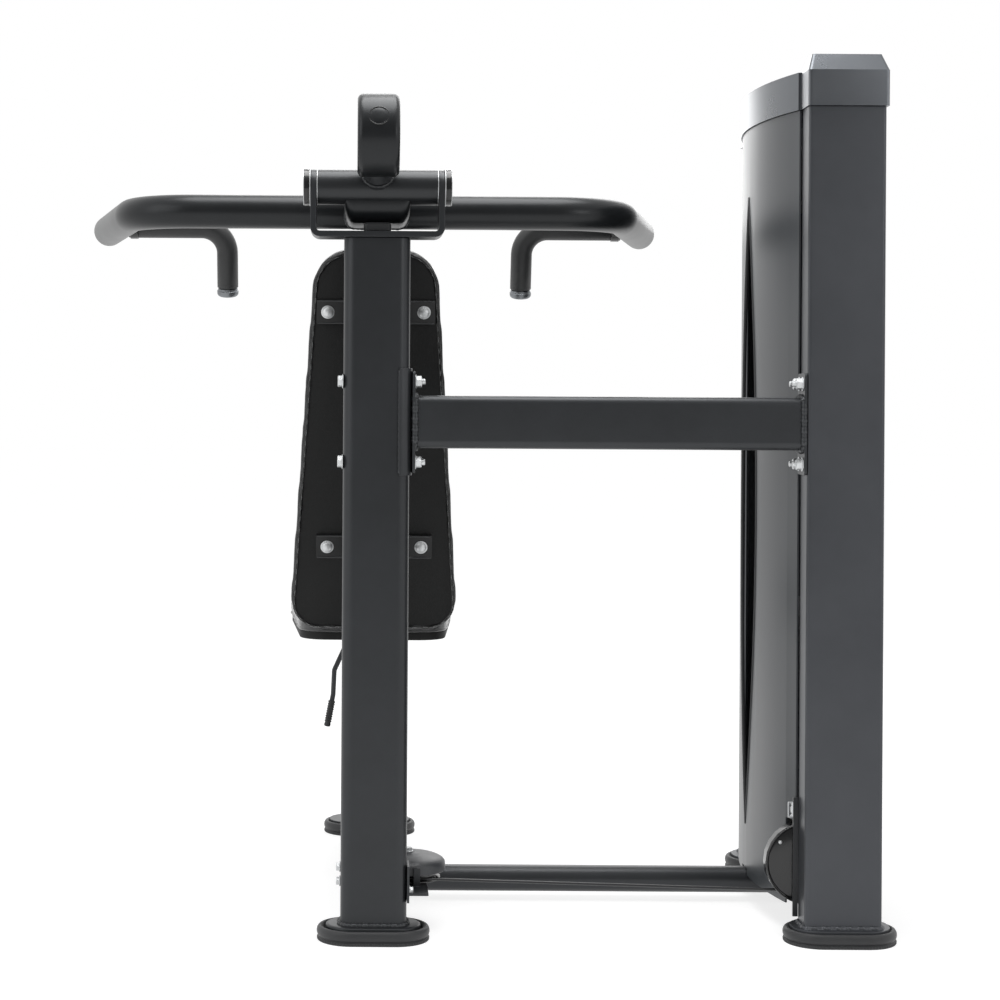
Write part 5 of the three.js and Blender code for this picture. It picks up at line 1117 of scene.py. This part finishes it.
@dataclass
class Cushion:
    """A foam cushion in sewn vinyl on its backing board, with a welt along each seam.

    Attributes:
        name: The cushion's name, which its form and its welts take.
        board_name: The board's name.
        solids: The board's solid and the cushion's solid.
        body: The body that carries both.
        outline: Outline of the cushion.
        board_points: Points round the board.
        foam: Depth of the cushion.
        spot: Point at x, y and a height over the board's outer face.
        board: Thickness of the board.
        cap_mm: The furthest that air pressure may move the vinyl.
        held_share: The share of the foam's depth, next to the board, that is held.
        frames: How many frames the swelling takes.
    """

    name: str
    board_name: str
    solids: tuple[str, str]
    body: str
    outline: list[Point]
    board_points: int
    foam: float
    spot: Place
    board: float = 15.0
    cap_mm: float = 7.0
    held_share: float = 0.16
    frames: int = 20

    def place(self, x: float, y: float, out: float) -> Vector:
        """Point at a height over the board's inner face."""
        return self.spot(x, y, out + self.board + 0.3)

    def build(self) -> None:
        """Build the board and the stuffed form, swell it by cloth simulation and sew its welts."""
        edge = evened(inset(self.outline, 6.0), self.board_points)
        levels = ((2.0, 0.0), (0.6, 0.8), (0.0, 2.4), (0.0, self.board))
        board = stepped(edge, levels, self.spot)
        add_piece(self.board_name, board, BACKING, self.body, self.solids[:1])
        form = self._form()
        self._swell(form)
        shade_smooth(form)
        smooth = form.modifiers.new("fine", "SUBSURF")
        smooth.levels = smooth.render_levels = 1
        dress(form, VINYL, self.body, self.solids[1:])
        self._welt(form, "rear", 3.0, 3.2)
        self._welt(form, "front", self.foam * 0.74, 2.2)

    def _form(self) -> Piece:
        """Loft the cushion's plain form: a flat back, drawn-in sides and a crown."""
        outline = evened(self.outline, 168)
        levels = (
            (12, 0.0), (6.0, 0.008), (4.2, 0.05), (3.4, 0.22), (3.2, 0.46), (4.2, 0.64),
            (7.5, 0.76), (13, 0.85), (24, 0.925), (42, 0.965), (66, 0.985), (96, 0.995),
        )
        wide, tall = (max(abs(point[i]) for point in outline) for i in (0, 1))
        rings = []
        for drawn, level in levels:
            sx, sy = 1 - drawn / wide, 1 - drawn / tall
            rings.append([self.place(x * sx, y * sy, level * self.foam) for x, y in outline])
        rings.append([self.place(0, 0, self.foam)])
        return make_object(f"{self.name}_upholstery", lofted(rings), 60)

    def _swell(self, form: Piece) -> None:
        """Swell the plain form with air pressure, holding the side that lies on the board."""
        remesh = form.modifiers.new("even_mesh", "REMESH")
        remesh.mode = "VOXEL"
        remesh.voxel_size = 6.5 * MM
        applied(form)
        back = self.place(0, 0, 0) * MM
        up = (self.place(0, 0, 1) - self.place(0, 0, 0)).normalized()
        rest = [v.co.copy() for v in form.data.vertices]
        heights = [(p - back).dot(up) / (self.foam * MM) for p in rest]
        held = form.vertex_groups.new(name="held")
        low = [i for i, height in enumerate(heights) if height < self.held_share]
        held.add(low, 1.0, "REPLACE")
        cloth = form.modifiers.new("cloth", "CLOTH")
        settings = cloth.settings
        settings.quality = 5
        settings.use_pressure = True
        settings.uniform_pressure_force = 4.0
        settings.effector_weights.gravity = 0.0
        settings.vertex_group_mass = "held"
        settings.tension_stiffness = settings.compression_stiffness = 18.0
        cloth.collision_settings.use_collision = False
        scene = bpy.context.scene
        for number in range(1, self.frames + 1):
            scene.frame_set(number)
        applied(form)
        scene.frame_set(1)
        limit = self.cap_mm * MM
        for vertex, start, height in zip(form.data.vertices, rest, heights):
            shift = vertex.co - start
            if shift.length > limit:
                shift *= limit / shift.length
            vertex.co = start + shift * min(max((height - 0.1) / 0.3, 0.0), 1.0)

    def _welt(self, form: Piece, side: str, level: float, radius: float) -> None:
        """Run a piping cord along a seam, half sunk in the cushion's own surface.

        Args:
            form: The cushion it is sewn to.
            side: Which seam.
            level: Height above the board.
            radius: The cord's radius.
        """
        mesh = form.data
        surface = BVHTree.FromPolygons(
            [v.co for v in mesh.vertices], [p.vertices for p in mesh.polygons]
        )
        outer, inner = (
            [self.place(x, y, level) for x, y in inset(evened(self.outline, 220), amount)]
            for amount in (-30.0, 30.0)
        )
        spots = []
        for start, aim in zip(outer, inner):
            inward = (aim - start).normalized()
            hit = surface.ray_cast(start * MM, inward)[0]
            spots.append((hit / MM if hit else aim) + inward * radius * 0.2)
        loop = [
            (spots[i - 1] + spot * 2 + spots[(i + 1) % len(spots)]) / 4
            for i, spot in enumerate(spots)
        ]
        up = (self.place(0, 0, 1) - self.place(0, 0, 0)).normalized()
        shape = cord(loop, lambda i: radius, up)
        add_piece(f"{self.name}_{side}_welt", shape, VINYL, self.body, sharp=ALL_SMOOTH)


@dataclass
class BackPad:
    """The tilted back pad with its board, its straps' bolts and its cushion."""

    tilt: float = math.radians(12.5)
    bottom_y: float = 306.0
    bottom_z: float = 490.0
    length: float = 715.0
    top_width: float = 232.0
    bottom_width: float = 312.0
    top_corner: float = 72.0
    bottom_corner: float = 55.0
    foam: float = 62.0
    strap_width: float = 212.0
    strap_height: float = 43.0
    bolt_spread: float = 172.0
    seam: float = 9.5

    def place(self, x: float, y: float, out: float) -> Vector:
        """Point on the pad, from its middle and the board's rear face."""
        up = y + self.length / 2
        return Vector((
            -x,
            self.bottom_y - up * math.sin(self.tilt) + out * math.cos(self.tilt),
            self.bottom_z + up * math.cos(self.tilt) + out * math.sin(self.tilt),
        ))

    def build(self) -> None:
        """Build the board, the cushion, the piping and the bolts."""
        outline = tapered_outline(
            self.length, self.top_width, self.bottom_width, self.top_corner, self.bottom_corner
        )
        solids = ("back_pad_board", "back_pad_cushion")
        Cushion("back", "back_board", solids, "frame", outline, 200, self.foam, self.place).build()
        ahead = Vector((0, math.cos(self.tilt), math.sin(self.tilt)))
        self._piping(outline, ahead)
        for level, height in (("upper", 602.0), ("lower", 165.0)):
            y = height - self.length / 2
            for name, side in SIDES:
                spot = self.place(0, y, -6.3)
                spot.x = side * self.bolt_spread / 2
                fastener(f"{level}_{name}_pad_bolt", Head.DOME, 10, spot, -ahead)
            self._strap_lips(level, y)

    def _strap_lips(self, level: str, y: float) -> None:
        """Run the turned-up lips along the edges of one strap, whose middle is at y."""
        half, rise = self.strap_width / 2 - 2, self.strap_height / 2 - 1.4
        lips = []
        for _, side in SIDES:
            start, end = (self.place(x, y + side * rise, -6.6) for x in (-half, half))
            along = (end - start).normalized()
            path = [start, start + along * 2, end - along * 2, end]
            lips.append(tube(path, [0.9, 1.6, 1.6, 0.9], 12))
        add_piece(f"{level}_strap_lips", joined(*lips), BLACK_ENAMEL, sharp=60)

    def _piping(self, outline: Sequence[Point], ahead: Vector) -> None:
        """Run the piping and its pale stitches, whose colour is a painted highlight, over the
        board's edge, facing the way the pad does.
        """
        loop = [self.place(x, y, 1.0) for x, y in inset(evened(outline, 300), self.seam)]
        piping = cord(loop, lambda i: 2.7 * (1 + 0.16 * math.sin(math.pi * i / 3)), ahead)
        add_piece("back_board_piping", piping, PIPING_VINYL, sharp=ALL_SMOOTH)
        # The stitches' pale colour is a painted highlight: short bright dashes along the seam.
        seam = [self.place(x, y, -1.9) for x, y in inset(evened(outline, 184), self.seam)]
        stitches = [
            tube([start, start.lerp(end, 0.5), end], [0.25, 0.5, 0.25], 6)
            for start, end in zip(seam[::2], seam[1::2])
        ]
        add_piece("back_board_highlight_stitches", joined(*stitches), STITCH_HIGHLIGHT, sharp=ALL_SMOOTH)


@dataclass
class Seat:
    """The seat on its sliding stem, with the lever that frees it."""

    y: float = 592.0
    length: float = 400.0
    rear_width: float = 292.0
    front_width: float = 336.0
    corner: float = 60.0
    board_low: float = 463.3
    foam: float = 66.0
    lever_knee: Vector = field(default_factory=lambda: Vector((-76, 570, 336)))
    lever_end: Vector = field(default_factory=lambda: Vector((-87, 570, 277)))
    ribs: int = 9

    def place(self, x: float, y: float, out: float) -> Vector:
        """Point on the seat, from its middle and the board's underside."""
        return Vector((x, self.y + y, self.board_low + out))

    def build(self) -> None:
        """Build the board, the cushion and the lever's grip."""
        outline = tapered_outline(
            self.length, self.front_width, self.rear_width, self.corner, self.corner
        )
        solids = ("seat_board", "seat_cushion")
        Cushion("seat", "seat_backing", solids, "seat", outline, 160, self.foam, self.place).build()
        dress_solids(POWDER_COAT, 0.8, "seat_sleeve", "seat_lever")
        dress_solids(GLOSS_ABS, 0.8, "seat_bush")
        dress_solids(CHROME, 0.8, "seat_stem")
        self._lever_grip()

    def _lever_grip(self) -> None:
        """Build the ribbed grip on the lever."""
        end, lever = self.lever_end, self.lever_end - self.lever_knee
        down = lever.normalized()
        start = 13 - lever.length
        profile = [(5.3, start), (6.4, start)]
        for i in range(self.ribs):
            low = start - (start + 4) * (i + 0.2) / self.ribs
            profile += [(7, low), (7, low + 2.2), (5.7, low + 2.8), (5.7, low + 4.2)]
        profile += [(6.6, 0.3), (6.2, 2.5), (5.0, 4), (0, 4), (0, 0.3), (5.3, 0.3), (5.3, start)]
        grip = turned(profile, down, end, 32)
        add_piece("lever_grip", grip, GRIP_RUBBER, "seat_lever", ["seat_lever_grip"])


@dataclass
class Tower:
    """The weight tower: posts, shrouds, cap and the stack inside."""

    x: float = 797.0
    depth: float = 565.0
    window_y: float = 292.0
    window_low: float = 143.0
    window_high: float = 1296.0
    window_width: float = 150.0
    bulge: float = 38.0
    post_half: float = 30.3

    def build(self) -> None:
        """Dress the tower's solids and add its trims."""
        dress_solids(TOWER_COAT, 1.0, "tower_rear_post", "tower_front_post")
        dress_solids(TOWER_COAT, 0.8, "tower_base_beam", "tower_top_beam", "tower_pulley_bracket")
        dress_solids(SHEET_COAT, 0.6, "inner_shroud", "outer_shroud")
        dress_solids(MOULDED_ABS, 2.0, "tower_cap")
        dress_solids(CHROME, 0.4, "rear_guide_rod", "front_guide_rod", "selector_stem")
        dress_solids(CHROME, 0.8, "selector_pin")
        dress_solids(CAST_IRON, 1.0, "resting_plates", "lifted_plates", "head_plate")
        dress_solids(FOOT_RUBBER, 1.0, "rear_stack_buffer", "front_stack_buffer")
        self._window_trim()
        section = evened(rounded_outline(132, 60, 8), 150)
        for name, y in (("rear", 0.0), ("front", self.depth)):
            weld_bead(f"tower_{name}_weld", flat_ring(section, 27.8, self.x, y), 4.6, TOWER_COAT)

    def shroud_x(self, y: float) -> float:
        """Find the X of the inner shroud's outer face at a depth."""
        half = self.depth / 2 - self.post_half
        radius = (half * half + self.bulge * self.bulge) / (2 * self.bulge)
        bow = radius - math.sqrt(radius * radius - (y - self.depth / 2) ** 2)
        return self.x - 70 - self.bulge + bow

    def _window_trim(self) -> None:
        """Run a rubber edging round the window."""
        half = (self.window_high - self.window_low) / 2
        wide = self.window_width / 2
        radius = (half * half + wide * wide) / (2 * wide)
        spread = math.asin(half / radius)
        middle = (self.window_high + self.window_low) / 2
        loop, count = [], 60
        for _, side in reversed(SIDES):
            for i in range(count):
                angle = spread * (2 * i / count - 1)
                y = self.window_y + side * (wide - radius + radius * math.cos(angle))
                z = middle + side * radius * math.sin(angle)
                loop.append(Vector((self.shroud_x(y) + 1.5, y, z)))
        height, width = 3.4, 2.4
        trim = cord(loop, lambda i: height, LEFT, flat=width / height)
        add_piece("window_edging", trim, FOOT_RUBBER, sharp=ALL_SMOOTH)


@dataclass
class CableDrive:
    """The cable, its pulleys and their covers."""

    side_x: float = 61.5
    side_y: float = 97.0
    dish_x: float = 747.0
    dish_z: float = 125.0
    dish_face: float = 31.0
    tab_x: float = 717.5
    tab_z: float = 219.0
    flange_left: float = 722.0
    flange_right: float = 730.8
    flange_y: float = 27.6
    flange_z: float = 137.5
    flange_tall: float = 205.0
    flange_deep: float = 4.5
    stack_travel: float = 92.0

    def build(self) -> None:
        """Dress the cable and the pulleys, and build the covers."""
        dress_solids(NYLON_JACKET, 0, "drive_cable")
        self._stack_cable()
        dress_solids(
            GLOSS_ABS, 0.5, "front_pulley", "side_pulley", "tower_low_pulley", "top_rear_pulley",
            "top_front_pulley",
        )
        self._side_cover()
        self._dish()
        self._tab()

    def _stack_cable(self) -> None:
        """Build the cable over the stack from a copy of its solid, carried with the weight stack;
        the real cable grows shorter as the stack rises.
        """
        piece = new_object("stack_cable_jacket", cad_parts["stack_cable"].data.copy())
        shade_smooth(piece)
        dress(piece, NYLON_JACKET, "weight_stack", ["stack_cable"])
        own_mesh(piece)

    def _side_cover(self) -> None:
        """Build the domed cover over the side pulley, with its bolt."""
        centre, top = Vector((self.side_x, self.side_y, 0)), 128
        profile = (
            (0, top), (16, top), (18, 127.2), (34, 125.6), (50, 122.4), (57, 119.6),
            (61.5, 116.8), (64.2, 113.4), (65, 110), (65, 99), (64, 98), (62.5, 98),
            (62.5, 112), (58, 117), (33, 123), (12, 125.5), (0, 125.5),
        )
        cover = turned(profile, UP, centre, 80)
        add_piece("side_pulley_dome", cover, SATIN_ABS, names=["side_pulley_cover"])
        fastener("side_cover_bolt", Head.HEX, 7.5, centre + UP * top, UP)

    def _dish(self) -> None:
        """Dress the dished cover by the tower and add its rim, hub, screw and flange."""
        dress_solids(GLOSS_ABS, 0.8, "tower_pulley_cover")
        centre = Vector((self.dish_x, self.dish_face, self.dish_z))
        rim = turned(bead_section(68.4, 0.6, 1.5), REAR, centre, 96)
        outline = rounded_outline(44, 88, 15)
        levels = ((0.0, -0.5), (0.0, 1.2), (0.5, 2.2), (1.6, 2.8))
        hub = stepped(outline, levels, lambda x, z, out: centre + Vector((-x, -out, z - 10)))
        add_piece("dish_rim", rim, GLOSS_ABS, sharp=ALL_SMOOTH)
        add_piece("dish_hub", hub, GLOSS_ABS)
        fastener("dish_screw", Head.DOME, 2.6, centre + Vector((-46, 0, 37)), REAR)
        section = rounded_outline(self.flange_tall, self.flange_deep, 1.5, 4)
        verts, faces = prism(section, self.flange_left, self.flange_right, Lay.SIDE_ON)
        stood = [Vector((v.x, self.flange_y + v.z, self.flange_z + v.y)) for v in verts]
        add_piece("dish_flange", (stood, faces), BLACK_ENAMEL)

    def _tab(self) -> None:
        """Build the small zinc tab with two holes at the top of the dish's flange."""
        middle = Vector((self.tab_x, 0, self.tab_z))
        outline = rounded_outline(9, 27, 1.5, 4)
        tab = make_object("dish_tab", prism(outline, 26.0, 28.0, Lay.END_ON, middle))
        for rise in (-7.0, 7.0):
            spot = Vector((self.tab_x, 27, self.tab_z + rise))
            cut_out(tab, turned(((0, -6), (2.2, -6), (2.2, 6), (0, 6)), -REAR, spot, 20))
        dress(tab, ZINC)


@dataclass
class Studio:
    """The pale floor, the soft lights, the white surroundings and the camera."""

    focal_px: float = 2124.0
    image_px: float = 1000.0
    sensor: float = 36.0
    distance: float = 3.6
    rear_y: float = -0.030
    eye_x: float = -0.0376
    eye_z: float = 0.929
    shift: Point = (0.1456, -0.1055)
    roll: float = math.radians(0.35)
    floor_half: float = 30.0
    floor_rear: float = -5.5

    def build(self) -> None:
        """Set up everything that isn't the object."""
        self._camera()
        self._world()
        self._floor()
        self._lamps()

    def _camera(self) -> None:
        """Place the camera behind the machine, level with its middle."""
        data = bpy.data.cameras.new("camera")
        data.sensor_width = self.sensor
        data.lens = self.focal_px * self.sensor / self.image_px
        data.shift_x, data.shift_y = self.shift
        data.clip_end = 100
        camera = new_object("camera", data)
        camera.matrix_world = (
            Matrix.Translation((self.eye_x, self.rear_y - self.distance, self.eye_z))
            @ Matrix.Rotation(math.radians(90), 4, "X")
            @ Matrix.Rotation(self.roll, 4, "Z")
        )
        bpy.context.scene.camera = camera

    @staticmethod
    def _room(add: Adder) -> Socket:
        """Find how bright a reflection's room is: white, and dim on the camera's side."""
        ahead = add("SeparateXYZ", "Y", {"Vector": add("TexCoord", "Generated")})
        limits = {"From Min": -0.95, "From Max": -0.3, "To Min": 0.28, "To Max": 1.0}
        sockets = {"Value": ahead, **limits}
        return add("MapRange", "Result", sockets, interpolation_type="SMOOTHSTEP")

    @staticmethod
    def _seen(add: Adder) -> Socket:
        """Give 1 for a ray from the camera, a gloss or a clear piece, and 0 for the rest."""
        camera, glossy, clear = (
            add("LightPath", f"Is {kind} Ray") for kind in ("Camera", "Glossy", "Transmission")
        )
        both = add("Math", 0, {0: camera, 1: glossy}, operation="MAXIMUM")
        return add("Math", 0, {0: both, 1: clear}, operation="MAXIMUM")

    def _world(self) -> None:
        """Surround the machine with white that lights it softly."""
        world = bpy.data.worlds.new("studio")
        bpy.context.scene.world = world
        add = node_adder(world)
        glossy = add("LightPath", "Is Glossy Ray")
        shown = add("Mix", 0, {0: glossy, 2: 1.0, 3: self._room(add)})
        strength = add("Mix", 0, {0: self._seen(add), 2: 0.62, 3: shown})
        light = add("Background", 0, {"Color": linear("#ffffff"), "Strength": strength})
        add("OutputWorld", None, {"Surface": light})

    def _floor(self) -> None:
        """Lay a wide pale floor that keeps the machine's shadow."""
        half, rear = self.floor_half, self.floor_rear
        mesh = bpy.data.meshes.new("floor")
        corners = [(-half, rear, 0), (half, rear, 0), (half, half, 0), (-half, half, 0)]
        mesh.from_pydata(corners, [], [(0, 1, 2, 3)])
        floor = new_object("floor", mesh)
        made = bpy.data.materials.new("matte_studio_floor")
        add = node_adder(made)
        matte = add("BsdfDiffuse", 0, {"Color": linear("#f2f2f2")})
        glow = add("Emission", 0, {"Color": linear("#ffffff"), "Strength": 1.37})
        share = add("Math", 0, {0: self._seen(add), 1: 0.55}, operation="MULTIPLY")
        mixed = add("MixShader", 0, {0: share, 1: matte, 2: glow})
        add("OutputMaterial", None, {"Surface": mixed})
        mesh.materials.append(made)

    def _lamps(self) -> None:
        """Hang the soft lamps."""
        target = Vector((0.3, 0.2, 0.8))
        for name, place, size, power in (
            ("overhead_softbox", (0.2, 0.1, 3.4), 1.8, 58.0),
            ("rear_left_softbox", (-3.2, -2.4, 2.4), 3.0, 32.0),
            ("rear_right_softbox", (2.6, -3.0, 1.8), 1.2, 14.0),
            ("front_softbox", (0.6, 3.6, 2.6), 2.4, 40.0),
        ):
            data = bpy.data.lights.new(name, "AREA")
            data.size = size
            data.energy = power
            lamp = new_object(name, data)
            lamp.location = place
            aim = target - Vector(place)
            lamp.rotation_euler = aim.to_track_quat("-Z", "Y").to_euler()


def main() -> None:
    """Build the studio and the machine in order."""
    logging.basicConfig(level=logging.INFO, format="%(name)s %(message)s")
    bpy.context.scene.view_settings.view_transform = "Standard"
    for part in (Studio(), SeatFrame(), PressArm(), BackPad(), Seat(), Tower(), CableDrive()):
        part.build()
        LOG.info("%s done", type(part).__name__)


if __name__ == "__main__":
    main()
